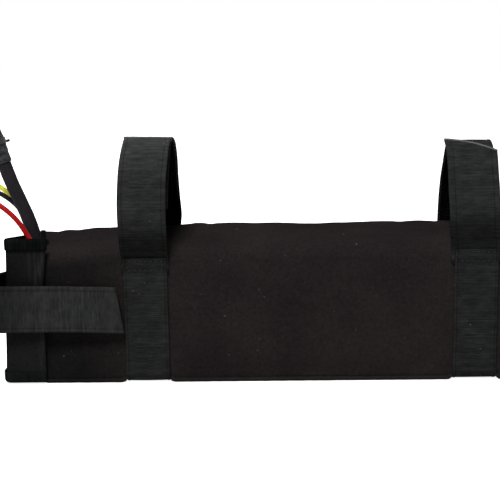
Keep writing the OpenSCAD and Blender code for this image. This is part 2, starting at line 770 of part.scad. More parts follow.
// Three-way connector shared by the thin wires, open towards its free end
module signal_plug() {
    color([0.07, 0.07, 0.07]) difference() {
        block(signal_x - signal_l, signal_y - signal_w / 2, 0, [signal_l, signal_w, signal_h]);
        block(signal_x - signal_l - cut, signal_y - signal_w / 2 + signal_wall, signal_wall,
            [signal_mouth + cut, signal_w - 2 * signal_wall, signal_h - 2 * signal_wall]);
    }
}

module signal_pins() {
    color([0.8, 0.65, 0.3]) for (side = [-1, 0, 1])
        translate([signal_x - signal_l + signal_wall, signal_y + side * wire_pitch, signal_h / 2])
            rotate([0, 90, 0]) cylinder(r = pin_r, h = signal_mouth - signal_wall, $fn = 24);
}

bag_sleeve();
bag_end_panel();
end_piping();
mouth_binding();
hook_patch();
end_flap();
flap_top_binding();
flap_bottom_binding();
closure_strap();
closure_strap_tip();
left_strap_base();
left_strap_tab();
left_strap_loop();
right_strap_base();
right_strap_tab();
right_strap_loop();
for (i = [1:cell_columns]) cell_group(i);
front_nickel_strips();
back_nickel_strips();
front_insulation();
back_insulation();
pack_wrap();
end_foam();
end_board();
front_foam_block();
back_foam_block();
bms_plate();
bms_transistors();
bms_board();
balance_socket();
balance_plug();
balance_wires();
temperature_probe();
positive_lead();
negative_lead();
discharge_cable();
cable_boot();
cable_tie();
discharge_plug();
discharge_contacts();
red_wire();
black_wire();
yellow_wire();
signal_plug();
signal_pins();
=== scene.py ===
# %% [markdown]
# # A soft-bag battery for an electric bicycle
#
# The real object is a padded fabric bag filled by a pack of cylindrical cells. Two straps of
# webbing stand up as loops that close round a frame tube, a flap covers the open left end, and a
# third strap holds the flap shut. The rigid model comes in first and gives every size and place, so
# nothing here is fitted by eye against thin air.

# %% Load the imported model
import math

import bmesh
import bpy
from mathutils import Matrix, Quaternion, Vector, noise


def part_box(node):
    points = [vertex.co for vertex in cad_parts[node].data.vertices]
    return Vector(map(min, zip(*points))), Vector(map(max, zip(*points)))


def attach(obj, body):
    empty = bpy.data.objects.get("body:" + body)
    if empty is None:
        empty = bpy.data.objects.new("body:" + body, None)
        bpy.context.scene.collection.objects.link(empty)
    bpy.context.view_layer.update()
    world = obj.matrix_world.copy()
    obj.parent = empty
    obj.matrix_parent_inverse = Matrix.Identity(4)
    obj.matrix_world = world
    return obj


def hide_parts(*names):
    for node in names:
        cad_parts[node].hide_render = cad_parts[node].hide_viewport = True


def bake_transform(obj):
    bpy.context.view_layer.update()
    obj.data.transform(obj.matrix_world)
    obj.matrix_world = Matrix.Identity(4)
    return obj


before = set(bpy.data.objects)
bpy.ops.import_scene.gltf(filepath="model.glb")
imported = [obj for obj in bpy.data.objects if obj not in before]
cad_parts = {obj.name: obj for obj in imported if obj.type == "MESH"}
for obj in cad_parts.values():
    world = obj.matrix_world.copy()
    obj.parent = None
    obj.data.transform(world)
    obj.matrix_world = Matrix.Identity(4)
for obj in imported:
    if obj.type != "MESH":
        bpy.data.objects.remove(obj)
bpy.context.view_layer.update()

mm = 0.001
print("nodes:", len(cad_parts))

# %% [markdown]
# ## The camera
#
# A product photograph like this one is taken from a little above, with a long lens, so that the
# straps stay nearly upright. The frame cuts the bag off on both sides, which a small lens shift
# reproduces without turning the camera away from the bag's front.

# %% Camera
camera_place = Vector((-8.8, -605.0, 205.4)) * mm
camera_tilt = math.radians(9.94)
camera_turn = math.radians(-0.29)
camera_roll = math.radians(-0.41)
forward = Vector((-math.sin(camera_turn) * math.cos(camera_tilt),
                  math.cos(camera_turn) * math.cos(camera_tilt), -math.sin(camera_tilt)))
camera_data = bpy.data.cameras.new("camera")
camera_data.lens = 74.44
camera_data.sensor_width = 36
camera_data.shift_x = -0.1
camera_data.shift_y = -0.1
camera = bpy.data.objects.new("camera", camera_data)
camera.location = camera_place
camera.rotation_mode = "QUATERNION"
camera.rotation_quaternion = forward.to_track_quat("-Z", "Y") @ Quaternion((0, 0, 1), camera_roll)
bpy.context.scene.collection.objects.link(camera)
bpy.context.scene.camera = camera
print("camera looks along", tuple(round(part, 3) for part in forward))

# %% [markdown]
# ## Sizes that the pieces share
#
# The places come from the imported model. Only the soft pieces' own sizes, such as how wide a tape
# is, are set here.

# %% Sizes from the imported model
bag_low, bag_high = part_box("bag_sleeve")
flap_low, flap_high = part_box("end_flap")
left_base_low, left_base_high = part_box("left_strap_base")
right_base_low, right_base_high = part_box("right_strap_base")
closure_tip_low, closure_tip_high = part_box("closure_strap_tip")
pack_end_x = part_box("pack_wrap")[0].x
patch_low, patch_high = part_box("hook_patch")

bag_half = bag_high.y
bag_top = bag_high.z
webbing_w = left_base_high.x - left_base_low.x
left_x = (left_base_low.x + left_base_high.x) / 2
right_x = (right_base_low.x + right_base_high.x) / 2
mouth_front_x = bag_low.x + 13 * mm
mouth_back_x = bag_low.x + 1 * mm
print("bag from", round(bag_low.x / mm, 1), "to", round(bag_high.x / mm, 1), "mm, straps at",
      round(left_x / mm, 1), "and", round(right_x / mm, 1))

# %% [markdown]
# ## Lines, and surfaces that follow them
#
# Webbing, tape and cable are all long things that follow a line. Blender's own curve objects could
# draw it, but their points can't be asked for while the script runs. So a few given points are
# joined by a smooth curve here, and one function finds the point at any distance along it.

# %% Smooth lines
def smooth(points, steps):
    """A smooth curve through the points, with that many steps from one to the next."""
    made = []
    last = len(points) - 1
    for i in range(last):
        a, b, c, d = points[max(i - 1, 0)], points[i], points[i + 1], points[min(i + 2, last)]
        for k in range(steps):
            t = k / steps
            made.append(0.5 * (2 * b + (c - a) * t + (2 * a - 5 * b + 4 * c - d) * t * t
                               + (3 * b - a - 3 * c + d) * t ** 3))
    return made + [points[last]]


def distances(points):
    """How far along the line each point lies."""
    made = [0.0]
    for a, b in zip(points, points[1:]):
        made.append(made[-1] + (b - a).length)
    return made


def walk(points, marks, distance):
    """The point at a distance along the line, and the line's direction there."""
    distance = min(max(distance, 0.0), marks[-1])
    low, high = 0, len(marks) - 1
    while high - low > 1:
        middle = (low + high) // 2
        if marks[middle] <= distance:
            low = middle
        else:
            high = middle
    share = (distance - marks[low]) / max(marks[high] - marks[low], 1e-9)
    before = points[max(low - 1, 0)]
    after = points[min(high + 1, len(points) - 1)]
    turn_in = (points[high] - before).normalized()
    turn_out = (after - points[low]).normalized()
    return points[low].lerp(points[high], share), turn_in.lerp(turn_out, share).normalized()


rounded = smooth([Vector((0, 0, 0)), Vector((1, 0, 0)), Vector((1, 1, 0))], 8)
print("a corner of 3 points becomes", len(rounded), "points")
print("its length:", round(distances(rounded)[-1], 3), "m")

# %% [markdown]
# To a mesh, a sheet, a strap and a tube are all the same: a grid of faces bent to a shape. One
# function starts from a bmesh grid and puts each of its points where the piece's own rule says.
# That keeps the mesh even, and with a UV map in real metres a weave has one size everywhere.

# %% Surfaces bent from a grid
def finish_mesh(mesh, name, material, smooth_faces=True):
    """Turns a bmesh into an object at the origin."""
    data = bpy.data.meshes.new(name)
    mesh.to_mesh(data)
    mesh.free()
    data.polygons.foreach_set("use_smooth", [smooth_faces] * len(data.polygons))
    piece = bpy.data.objects.new(name, data)
    bpy.context.scene.collection.objects.link(piece)
    for one in material if isinstance(material, (list, tuple)) else [material]:
        data.materials.append(one)
    return piece


def bent_grid(along, across, place, uv_place, pick=None):
    """A grid whose corner at shares s and t goes to place(s, t), with its UV at uv_place(s, t)."""
    mesh = bmesh.new()
    bmesh.ops.create_grid(mesh, x_segments=along, y_segments=across, size=0.5)
    uv = mesh.loops.layers.uv.new("UVMap")
    for face in mesh.faces:
        for loop in face.loops:
            loop[uv].uv = uv_place(loop.vert.co.x + 0.5, loop.vert.co.y + 0.5)
        if pick:
            middle = face.calc_center_median()
            face.material_index = pick(middle.x + 0.5, middle.y + 0.5)
    for vert in mesh.verts:
        vert.co = place(vert.co.x + 0.5, vert.co.y + 0.5)
    return mesh


def face_towards(mesh, direction):
    """Turns all faces over if most of them look the other way."""
    mesh.normal_update()
    if sum(face.normal.dot(direction) * face.calc_area() for face in mesh.faces) < 0:
        bmesh.ops.reverse_faces(mesh, faces=mesh.faces)


def thicken(piece, thickness, offset=0.0):
    """Gives a sheet its thickness, on both sides of the mesh or on one."""
    wall = piece.modifiers.new("thickness", "SOLIDIFY")
    wall.thickness = thickness
    wall.offset = offset
    wall.use_even_offset = False
    return piece


def ease(share):
    """A soft step from 0 to 1."""
    share = min(max(share, 0.0), 1.0)
    return share * share * (3 - 2 * share)


def ripple(point, size):
    """Noise from about -1 to 1, with bumps of that size."""
    return noise.noise(point / size)


flat_grid = bent_grid(4, 2, lambda s, t: Vector((s, t, 0)), lambda s, t: (s, t))
print("a grid of 4 by 2 faces has", len(flat_grid.verts), "points")
flat_grid.free()

# %% [markdown]
# ## Finishes
#
# Nearly everything here is black, so what tells one cloth from another is how it is made: the
# plain weave of the bag, the cross ribs of the webbing, the flat tape of the bindings. Each of
# these patterns is a node group, built once and used in several materials with other values.
# Black cloth has no gloss to speak of. Its specular level is 0, because the white surroundings
# would otherwise turn it grey.

# %% Small helpers for node trees
def wire(tree, value, socket):
    """Puts a number, a vector or another node's output on a socket."""
    if isinstance(value, bpy.types.NodeSocket):
        tree.links.new(value, socket)
    else:
        socket.default_value = value


def compute(tree, operation, first, second=0.0, third=0.0):
    """A Math node's result."""
    node = tree.nodes.new("ShaderNodeMath")
    node.operation = operation
    for value, socket in zip((first, second, third), node.inputs):
        wire(tree, value, socket)
    return node.outputs[0]


def times(tree, first, second):
    """Two values multiplied."""
    return compute(tree, "MULTIPLY", first, second)


def humps(tree, value):
    """A row of rounded humps from 0 to 1, one for each whole step of the value."""
    return compute(tree, "ABSOLUTE", compute(tree, "SINE", times(tree, value, math.pi)))


def split(tree, vector):
    """A vector's three parts."""
    node = tree.nodes.new("ShaderNodeSeparateXYZ")
    wire(tree, vector, node.inputs[0])
    return node.outputs


def scaled(tree, vector, factors):
    """A vector with each part multiplied by its own factor."""
    node = tree.nodes.new("ShaderNodeVectorMath")
    node.operation = "MULTIPLY"
    wire(tree, vector, node.inputs[0])
    wire(tree, factors, node.inputs[1])
    return node.outputs[0]


def clouds(tree, vector, size, detail=3.0, roughness=0.5):
    """Noise from 0 to 1, with patches of about that size in metres."""
    node = tree.nodes.new("ShaderNodeTexNoise")
    wire(tree, vector, node.inputs["Vector"])
    node.inputs["Scale"].default_value = 1 / size
    node.inputs["Detail"].default_value = detail
    node.inputs["Roughness"].default_value = roughness
    return node.outputs[0]


def mixed(tree, factor, first, second):
    """Two colours mixed by a factor."""
    node = tree.nodes.new("ShaderNodeMix")
    node.data_type = "RGBA"
    wire(tree, factor, node.inputs["Factor"])
    wire(tree, first, node.inputs["A"])
    wire(tree, second, node.inputs["B"])
    return node.outputs["Result"]


def remap(tree, value, low, high, to_low, to_high):
    """A value taken from one range to another, and held inside it."""
    node = tree.nodes.new("ShaderNodeMapRange")
    wire(tree, value, node.inputs["Value"])
    for name, number in zip(("From Min", "From Max", "To Min", "To Max"),
                            (low, high, to_low, to_high)):
        wire(tree, number, node.inputs[name])
    return node.outputs["Result"]


def new_group(name, inputs, outputs):
    """An empty node group with named sockets. The inputs give a name, a kind and a value."""
    group = bpy.data.node_groups.new(name, "ShaderNodeTree")
    for title, kind, value in inputs:
        socket = group.interface.new_socket(title, in_out="INPUT", socket_type="NodeSocket" + kind)
        if value is not None:
            socket.default_value = value
    for title, kind in outputs:
        group.interface.new_socket(title, in_out="OUTPUT", socket_type="NodeSocket" + kind)
    return group, group.nodes.new("NodeGroupInput"), group.nodes.new("NodeGroupOutput")


def use_group(tree, group, **values):
    """Places a group in a material. A value's name has underscores where the socket has spaces."""
    node = tree.nodes.new("ShaderNodeGroup")
    node.node_tree = group
    for name, value in values.items():
        wire(tree, value, node.inputs[name.replace("_", " ")])
    return node.outputs


print("node groups before the first pattern:", len(bpy.data.node_groups))

# %% [markdown]
# The bag's coarse polyester is a plain weave: each thread passes over one thread and under the
# next. Modelled threads would take millions of faces, so two rows of humps across the UV map give
# the threads' rounded height, and a chequer of whole steps says which thread lies on top.

# %% Plain weave
def make_weave():
    """Threads that pass over and under each other, as in the bag's coarse polyester."""
    group, given, result = new_group(
        "plain weave",
        [("Vector", "Vector", None), ("Thread", "Float", 0.0006), ("Wander", "Float", 0.5)],
        [("Height", "Float"), ("Over", "Float")])
    vector = given.outputs["Vector"]
    per_metre = compute(group, "DIVIDE", 1.0, given.outputs["Thread"])
    across = split(group, vector)
    drift = times(group, clouds(group, vector, 0.004, 2.0), given.outputs["Wander"])
    u = compute(group, "ADD", times(group, across[0], per_metre), drift)
    v = compute(group, "SUBTRACT", times(group, across[1], per_metre), drift)
    warp = humps(group, u)
    weft = humps(group, v)
    cells = compute(group, "ADD", compute(group, "FLOOR", u), compute(group, "FLOOR", v))
    over = compute(group, "PINGPONG", cells, 1.0)
    high_warp = times(group, warp, compute(group, "MULTIPLY_ADD", weft, 0.4, 0.6))
    high_weft = times(group, weft, compute(group, "MULTIPLY_ADD", warp, 0.4, 0.6))
    warp_on_top = times(group, high_warp, over)
    weft_on_top = times(group, high_weft, compute(group, "SUBTRACT", 1.0, over))
    wire(group, compute(group, "ADD", warp_on_top, weft_on_top), result.inputs["Height"])
    wire(group, over, result.inputs["Over"])
    return group


weave_group = make_weave()
print("made:", weave_group.name)

# %% [markdown]
# Webbing has strong cross ribs, because the threads across it are thick and the ones along it are
# fine. A picture of webbing would repeat, so the ribs are humps along the UV map as well. Each
# rib draws its own tone from white noise, as uneven ribs on real webbing catch the light.

# %% Cross ribs
def make_ribs():
    """Webbing's cross ribs, each with its own tone, over fine lengthwise threads."""
    group, given, result = new_group(
        "cross ribs",
        [("Vector", "Vector", None), ("Pitch", "Float", 0.0011), ("Thread", "Float", 0.0008)],
        [("Height", "Float"), ("Tone", "Float")])
    vector = given.outputs["Vector"]
    place = split(group, vector)
    wander = clouds(group, scaled(group, vector, (1.0, 0.25, 1.0)), 0.003, 2.0)
    along = compute(group, "DIVIDE", place[0], given.outputs["Pitch"])
    along = compute(group, "MULTIPLY_ADD", wander, 0.6, along)
    across = compute(group, "DIVIDE", place[1], given.outputs["Thread"])
    chance = group.nodes.new("ShaderNodeTexWhiteNoise")
    chance.noise_dimensions = "1D"
    wire(group, compute(group, "FLOOR", along), chance.inputs["W"])
    streaks = clouds(group, scaled(group, vector, (1.0, 0.12, 1.0)), 0.0009, 3.0, 0.7)
    tone = compute(group, "MULTIPLY_ADD", chance.outputs["Value"], 0.14, streaks)
    height = compute(group, "MULTIPLY_ADD", humps(group, across), 0.25, humps(group, along))
    wire(group, height, result.inputs["Height"])
    wire(group, compute(group, "SUBTRACT", tone, 0.07), result.inputs["Tone"])
    return group


rib_group = make_ribs()
print("made:", rib_group.name)

# %% [markdown]
# No dyed cloth or moulded plastic has one even colour, and dark cloth gathers fibres and dust. One
# group drifts between two colours in broad patches with a fine speck on top. The other picks the
# middles of a few Voronoi cells, stretched so that they look like short fibres.

# %% Uneven tone and lint
def make_tone():
    """A colour that drifts a little, as dyed cloth and moulded plastic do."""
    group, given, result = new_group(
        "uneven tone",
        [("Vector", "Vector", None), ("Color", "Color", (0.1, 0.1, 0.1, 1)),
         ("Patch", "Color", (0.2, 0.2, 0.2, 1)), ("Amount", "Float", 0.5)],
        [("Color", "Color"), ("Grain", "Float")])
    vector = given.outputs["Vector"]
    broad = remap(group, clouds(group, vector, 0.045, 2.0), 0.35, 0.65, 0.0, 1.0)
    fine = clouds(group, vector, 0.0016, 4.0, 0.7)
    share = times(group, broad, given.outputs["Amount"])
    patched = mixed(group, share, given.outputs["Color"], given.outputs["Patch"])
    speck = remap(group, fine, 0.3, 0.7, 0.72, 1.28)
    wire(group, scaled(group, patched, speck), result.inputs["Color"])
    wire(group, fine, result.inputs["Grain"])
    return group


def make_lint():
    """Thin short fibres and dust that cling to dark cloth."""
    group, given, result = new_group(
        "lint", [("Vector", "Vector", None), ("Size", "Float", 0.004)], [("Mask", "Float")])
    near = group.nodes.new("ShaderNodeTexVoronoi")
    bent = scaled(group, given.outputs["Vector"], (1.0, 0.35, 1.3))
    wire(group, bent, near.inputs["Vector"])
    wire(group, compute(group, "DIVIDE", 1.0, given.outputs["Size"]), near.inputs["Scale"])
    spot = remap(group, near.outputs["Distance"], 0.05, 0.12, 1.0, 0.0)
    rare = remap(group, clouds(group, given.outputs["Vector"], 0.012, 2.0), 0.56, 0.66, 0.0, 1.0)
    wire(group, times(group, spot, rare), result.inputs["Mask"])
    return group


tone_group = make_tone()
lint_group = make_lint()
print("node groups:", [group.name for group in bpy.data.node_groups])

# %% [markdown]
# ### Cloth
#
# A cloth material takes its pattern from the UV map, which is in metres, and its tone from the
# place on the object, so that two pieces cut from one cloth don't match by chance. The bump
# distance is the real height of a thread. Every material starts in the same way, so one function
# makes its shader and the two vectors.

# %% Materials in general
def start_material(name, roughness, specular, metallic=0.0):
    """A material with its shader, and the two vectors that its patterns read."""
    material = bpy.data.materials.new(name)
    material.use_nodes = True
    tree = material.node_tree
    shader = tree.nodes["Principled BSDF"]
    shader.inputs["Roughness"].default_value = roughness
    shader.inputs["Specular IOR Level"].default_value = specular
    shader.inputs["Metallic"].default_value = metallic
    places = tree.nodes.new("ShaderNodeTexCoord")
    return material, tree, shader, places.outputs["Object"], places.outputs["UV"]


def bump(tree, shader, height, distance):
    """Feeds a height to the shader's normal. The distance is the height's real size."""
    node = tree.nodes.new("ShaderNodeBump")
    node.inputs["Distance"].default_value = distance
    wire(tree, height, node.inputs["Height"])
    wire(tree, node.outputs["Normal"], shader.inputs["Normal"])


def shade(colour, factor):
    """A colour made lighter or darker, and opaque."""
    return (colour[0] * factor, colour[1] * factor, colour[2] * factor, 1.0)


print("black at half its tone:", shade((0.02, 0.02, 0.02, 1), 0.5))

# %% [markdown]
# The cloth of the bag is taut over the pack and hangs slack near the mouth, where its walls get a
# painted shade. Where the flap's tab folds over the mouth's edge, it gets a painted highlight in
# pale upright streaks. These marks could be painted on an image, but masks by place need none and
# stay sharp at any size.

# %% Woven cloth
plain_white = (1, 1, 1, 1)
lint_colour = (0.32, 0.30, 0.28, 1)
# The colour of the painted highlight on the flap's tab
tab_highlight_colour = (0.036, 0.036, 0.038, 1)

# Places in metres, each as where a painted shade or highlight begins and where it is complete
top_z = (0.068, 0.076)
shade_fade_x = (-0.132, -0.100)
tab_x = (-0.160, -0.153)
tab_z = (0.030, 0.055)


def painted_shade_tint(tree, place, tint):
    """A painted shade on the walls near the mouth, and white over the pack and on the top."""
    on_top = remap(tree, place[2], *top_z, 0.0, 1.0)
    taut = remap(tree, place[0], *shade_fade_x, 0.0, 1.0)
    return mixed(tree, compute(tree, "MAXIMUM", on_top, taut), tint, plain_white)


def tab_highlight_mask(tree, here, place, amount):
    """A painted highlight in upright streaks on the flap's tab, strongest near its top."""
    streaks = clouds(tree, scaled(tree, here, (1.0, 1.0, 0.1)), 0.0035, 2.0)
    streaks = remap(tree, streaks, 0.48, 0.66, 0.0, amount)
    on_tab = remap(tree, place[0], *tab_x, 0.0, 1.0)
    upwards = remap(tree, place[2], *tab_z, 0.35, 1.0)
    return times(tree, streaks, times(tree, on_tab, upwards))


# The tint near the mouth is a painted shade, and the amount for the tab a painted highlight
def woven_cloth(name, colour, patch, thread, depth=0.00012, slack=plain_white, tab_highlight=0.0):
    """Plain woven cloth with soft patches of tone and a little lint."""
    material, tree, shader, here, uv = start_material(name, 0.9, 0.0)
    cloth = use_group(tree, weave_group, Vector=uv, Thread=thread, Wander=0.8)
    tone = use_group(tree, tone_group, Vector=here, Color=colour, Patch=patch, Amount=0.8)
    fibres = use_group(tree, lint_group, Vector=here, Size=0.0045)
    place = split(tree, here)
    crossed = mixed(tree, times(tree, cloth["Over"], 0.25), tone["Color"],
                    scaled(tree, tone["Color"], (0.7, 0.7, 0.7)))
    # Darker in the grooves between threads and a little lighter on their crests: painted shade and
    # highlight
    surface_colour = scaled(tree, crossed, remap(tree, cloth["Height"], 0.0, 0.6, 0.55, 1.1))
    # Painted shade on the walls near the mouth
    surface_colour = scaled(tree, surface_colour, painted_shade_tint(tree, place, slack))
    # Painted highlight on the flap's tab
    surface_colour = mixed(tree, tab_highlight_mask(tree, here, place, tab_highlight), surface_colour, tab_highlight_colour)
    dusty = mixed(tree, times(tree, fibres["Mask"], 0.25), surface_colour, lint_colour)
    wire(tree, dusty, shader.inputs["Base Color"])
    wire(tree, remap(tree, tone["Grain"], 0.3, 0.7, 0.82, 0.98), shader.inputs["Roughness"])
    bump(tree, shader, cloth["Height"], depth)
    return material


# The painted shade near the mouth is full up to the first place and gone from the second
print("the bag's cloth is slack up to x =", shade_fade_x[0], "m and taut from", shade_fade_x[1], "m")

# %% [markdown]
# The straps get a painted shade just above the bag, where they bend and shade each other, and a
# painted highlight at their crown. A thin dark line marks the inside of each selvage, and the
# closure strap gets a painted shade round its bend. All of this is tone alone, so it multiplies the
# ribs.

# %% Ribbed webbing
webbing_lint = (0.28, 0.28, 0.28, 1)
selvage_y = 0.0109
# Where the painted shade on the closure strap's bend is full, and where it is gone
closure_shade_x = (-0.188, -0.150)
strap_lean = -0.035


def painted_light_by_height(tree, place):
    """A factor for the tone of a strap by height: painted shade above the bag, then plain, then a
    painted highlight at the crown.
    """
    height = compute(tree, "MULTIPLY_ADD", place[0], strap_lean, place[2])
    into = remap(tree, height, 0.070, 0.077, 0.84, 0.47)
    out_of = remap(tree, height, 0.088, 0.100, 0.0, 0.50)
    leaning = compute(tree, "MULTIPLY_ADD", place[0], strap_lean, height)
    crown = remap(tree, leaning, 0.125, 0.145, 0.0, 0.85)
    return compute(tree, "ADD", compute(tree, "ADD", into, out_of), crown)


def selvage_line(tree, uv):
    """A darker line inside each selvage."""
    across = compute(tree, "ABSOLUTE", split(tree, uv)[1])
    away = compute(tree, "ABSOLUTE", compute(tree, "SUBTRACT", across, selvage_y))
    return remap(tree, away, 0.0002, 0.0005, 0.72, 1.0)


def ribbed_webbing(name, colour, light, pitch, depth=0.0001, bend_shade=1.0):
    """Webbing whose ribs catch the light unevenly. Its bend factor paints shade on the closure
    strap's bend.
    """
    material, tree, shader, here, uv = start_material(name, 0.62, 0.0)
    ribs = use_group(tree, rib_group, Vector=uv, Pitch=pitch, Thread=0.0009)
    fibres = use_group(tree, lint_group, Vector=here, Size=0.005)
    place = split(tree, here)
    patches = remap(tree, clouds(tree, here, 0.007, 3.0, 0.6), 0.3, 0.7, 0.8, 1.2)
    surface_colour = mixed(tree, remap(tree, ribs["Tone"], 0.32, 0.72, 0.0, 1.0), colour, light)
    # Painted shade in the grooves between ribs, painted shade and highlight by height, the selvage
    # line, and painted shade on the closure strap's bend
    for factor in (remap(tree, ribs["Height"], 0.0, 0.7, 0.84, 1.01),
                   times(tree, patches, painted_light_by_height(tree, place)),
                   selvage_line(tree, uv),
                   remap(tree, place[0], *closure_shade_x, bend_shade, 1.0)):
        surface_colour = scaled(tree, surface_colour, factor)
    dusty = mixed(tree, times(tree, fibres["Mask"], 0.2), surface_colour, webbing_lint)
    wire(tree, dusty, shader.inputs["Base Color"])
    wire(tree, remap(tree, ribs["Tone"], 0.2, 0.8, 0.55, 0.8), shader.inputs["Roughness"])
    bump(tree, shader, ribs["Height"], depth)
    return material


print("selvage's line:", round(selvage_y / mm, 1), "mm from the strap's middle")

# %% [markdown]
# The cloths differ in colour and in how coarse they are. The bag's black leans to brown, the
# flap's is neutral and darker, and the bindings' leans a little to green. Each gets a dark and a
# light tone, a thread or rib size in metres, and the height of its bump.

# %% The bag's cloths
# The bag's walls near the mouth get a painted shade
bag_cloth = woven_cloth("bag fabric", (0.0148, 0.0120, 0.0126, 1), (0.0210, 0.0170, 0.0168, 1),
                        0.00062, slack=(0.50, 0.58, 0.56, 1))
# The flap's tab gets a painted highlight in pale upright streaks
flap_cloth = woven_cloth("flap fabric", (0.0056, 0.0058, 0.0060, 1), (0.0156, 0.0156, 0.0160, 1),
                         0.00055, tab_highlight=0.8)
lining_cloth = woven_cloth("lining", (0.040, 0.040, 0.042, 1), (0.052, 0.050, 0.050, 1),
                           0.0003, depth=0.00005)
webbing_cloth = ribbed_webbing("strap webbing", (0.0124, 0.0128, 0.0128, 1),
                               (0.0256, 0.0262, 0.0262, 1), 0.00115)
# The closure webbing is the strap webbing made lighter, with a painted shade round its bend
closure_cloth = ribbed_webbing("closure webbing", (0.0172, 0.0176, 0.0176, 1),
                               (0.0356, 0.0362, 0.0362, 1), 0.00115, bend_shade=0.3)
binding_cloth = ribbed_webbing("tape for bindings", (0.0044, 0.0056, 0.0056, 1),
                               (0.0112, 0.0124, 0.0124, 1), 0.0008, depth=0.00008)
print("cloths:", [material.name for material in bpy.data.materials if material.users == 0])

# %% [markdown]
# The inner side of the straps is the hook side of the fastener. It is a field of tiny stiff hooks,
# rougher than the woven side. Its near-black ground is partly the tape's own colour and partly
# painted shade, for the inside of the loops lies in shade, and pale hooks in patches are painted
# glints. Modelled hooks would be lost at this distance, so Voronoi cells in near rows give the
# bumps. The sewing thread is two-ply, and its slanted twist is a sine wave turned by 35 degrees.

# %% Hook tape and sewing thread
hook_pitch = 0.0012
twist_pitch = 0.0004


def hook_cloth():
    """Rows of small hooks on a near-black ground that is partly painted shade, with painted glints
    on the hooks.
    """
    material, tree, shader, here, uv = start_material("hook tape", 0.8, 0.0)
    dots = tree.nodes.new("ShaderNodeTexVoronoi")
    wire(tree, uv, dots.inputs["Vector"])
    dots.inputs["Scale"].default_value = 1 / hook_pitch
    dots.inputs["Randomness"].default_value = 0.35
    hooks = remap(tree, dots.outputs["Distance"], 0.1, 0.5, 1.0, 0.0)
    glint_patches = remap(tree, clouds(tree, here, 0.0025, 3.0, 0.6), 0.45, 0.7, 0.15, 1.0)
    # Near-black ground, partly painted shade, and pale hooks in patches as painted glints
    surface_colour = mixed(tree, times(tree, hooks, glint_patches), (0.0012, 0.0012, 0.0012, 1),
                 (0.0180, 0.0180, 0.0184, 1))
    wire(tree, surface_colour, shader.inputs["Base Color"])
    bump(tree, shader, hooks, 0.0005)
    return material


def twisted_thread():
    """Sewing thread, seen as a slanted twist on each stitch."""
    material, tree, shader, here, uv = start_material("sewing thread", 0.6, 0.08)
    turned = tree.nodes.new("ShaderNodeVectorRotate")
    wire(tree, here, turned.inputs["Vector"])
    turned.inputs["Angle"].default_value = math.radians(35)
    along = split(tree, turned.outputs[0])[0]
    twist = compute(tree, "SINE", times(tree, along, 2 * math.pi / twist_pitch))
    # Darker in the twist's grooves and lighter on its crests: painted shade and highlight
    surface_colour = mixed(tree, remap(tree, twist, -1.0, 1.0, 0.0, 1.0), (0.010, 0.010, 0.010, 1),
                 (0.028, 0.028, 0.030, 1))
    wire(tree, surface_colour, shader.inputs["Base Color"])
    bump(tree, shader, twist, 0.00005)
    return material


hook_tape_and_shade = hook_cloth()
thread = twisted_thread()
print("made:", hook_tape_and_shade.name, "and", thread.name)

# %% [markdown]
# ### Cables, plastics and metals
#
# The discharge cable runs in a braided sleeve, so its pattern follows the cable's own UV map. The
# thin wires have a soft silicone cover with a dull gloss. Plastics, foam, paper and metal read the
# place on the object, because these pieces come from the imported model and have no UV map.

# %% Cable finishes
def braided_sleeve():
    """Yarns that wind both ways round the cable."""
    material, tree, shader, here, uv = start_material("braided sleeve", 0.65, 0.02)
    turned = tree.nodes.new("ShaderNodeVectorRotate")
    wire(tree, uv, turned.inputs["Vector"])
    turned.inputs["Angle"].default_value = math.radians(45)
    braid = use_group(tree, weave_group, Vector=turned.outputs[0], Thread=0.0009, Wander=0.2)
    tone = use_group(tree, tone_group, Vector=here, Color=(0.0116, 0.0100, 0.0120, 1),
                     Patch=(0.0220, 0.0192, 0.0232, 1), Amount=1.0)
    # Darker in the grooves between yarns and a little lighter on their crests: painted shade and
    # highlight
    groove_shade = remap(tree, braid["Height"], 0.0, 0.7, 0.5, 1.15)
    wire(tree, scaled(tree, tone["Color"], groove_shade), shader.inputs["Base Color"])
    bump(tree, shader, braid["Height"], 0.0002)
    return material


def shrink_tube():
    """Grey shrink tube with small hard wrinkles, painted pale on their crests and dark in their
    hollows as painted highlight and shade.
    """
    material, tree, shader, here, uv = start_material("shrink tube", 0.4, 0.06)
    wrinkles = clouds(tree, scaled(tree, uv, (1.0, 0.5, 1.0)), 0.0022, 4.0, 0.65)
    # Pale on the wrinkles' crests and near black in their hollows: painted highlight and shade
    surface_colour = mixed(tree, remap(tree, wrinkles, 0.35, 0.65, 0.0, 1.0), (0.004, 0.0044, 0.005, 1),
                 (0.052, 0.056, 0.060, 1))
    wire(tree, surface_colour, shader.inputs["Base Color"])
    bump(tree, shader, wrinkles, 0.0006)
    return material


def silicone(name, colour):
    """The soft cover of a thin wire, with faint scuffs."""
    material, tree, shader, here, uv = start_material(name, 0.45, 0.06)
    tone = use_group(tree, tone_group, Vector=here, Color=colour, Patch=shade(colour, 0.75),
                     Amount=0.6)
    wire(tree, tone["Color"], shader.inputs["Base Color"])
    wire(tree, remap(tree, tone["Grain"], 0.3, 0.7, 0.34, 0.52), shader.inputs["Roughness"])
    bump(tree, shader, tone["Grain"], 0.00003)
    return material


def moulded(name, colour, roughness=0.45, specular=0.4, grain=0.00003):
    """Moulded plastic, paint or sleeve with a fine grain."""
    material, tree, shader, here, uv = start_material(name, roughness, specular)
    tone = use_group(tree, tone_group, Vector=here, Color=colour, Patch=shade(colour, 0.8),
                     Amount=0.5)
    wire(tree, tone["Color"], shader.inputs["Base Color"])
    wire(tree, remap(tree, tone["Grain"], 0.3, 0.7, roughness - 0.08, roughness + 0.12),
         shader.inputs["Roughness"])
    bump(tree, shader, tone["Grain"], grain)
    return material


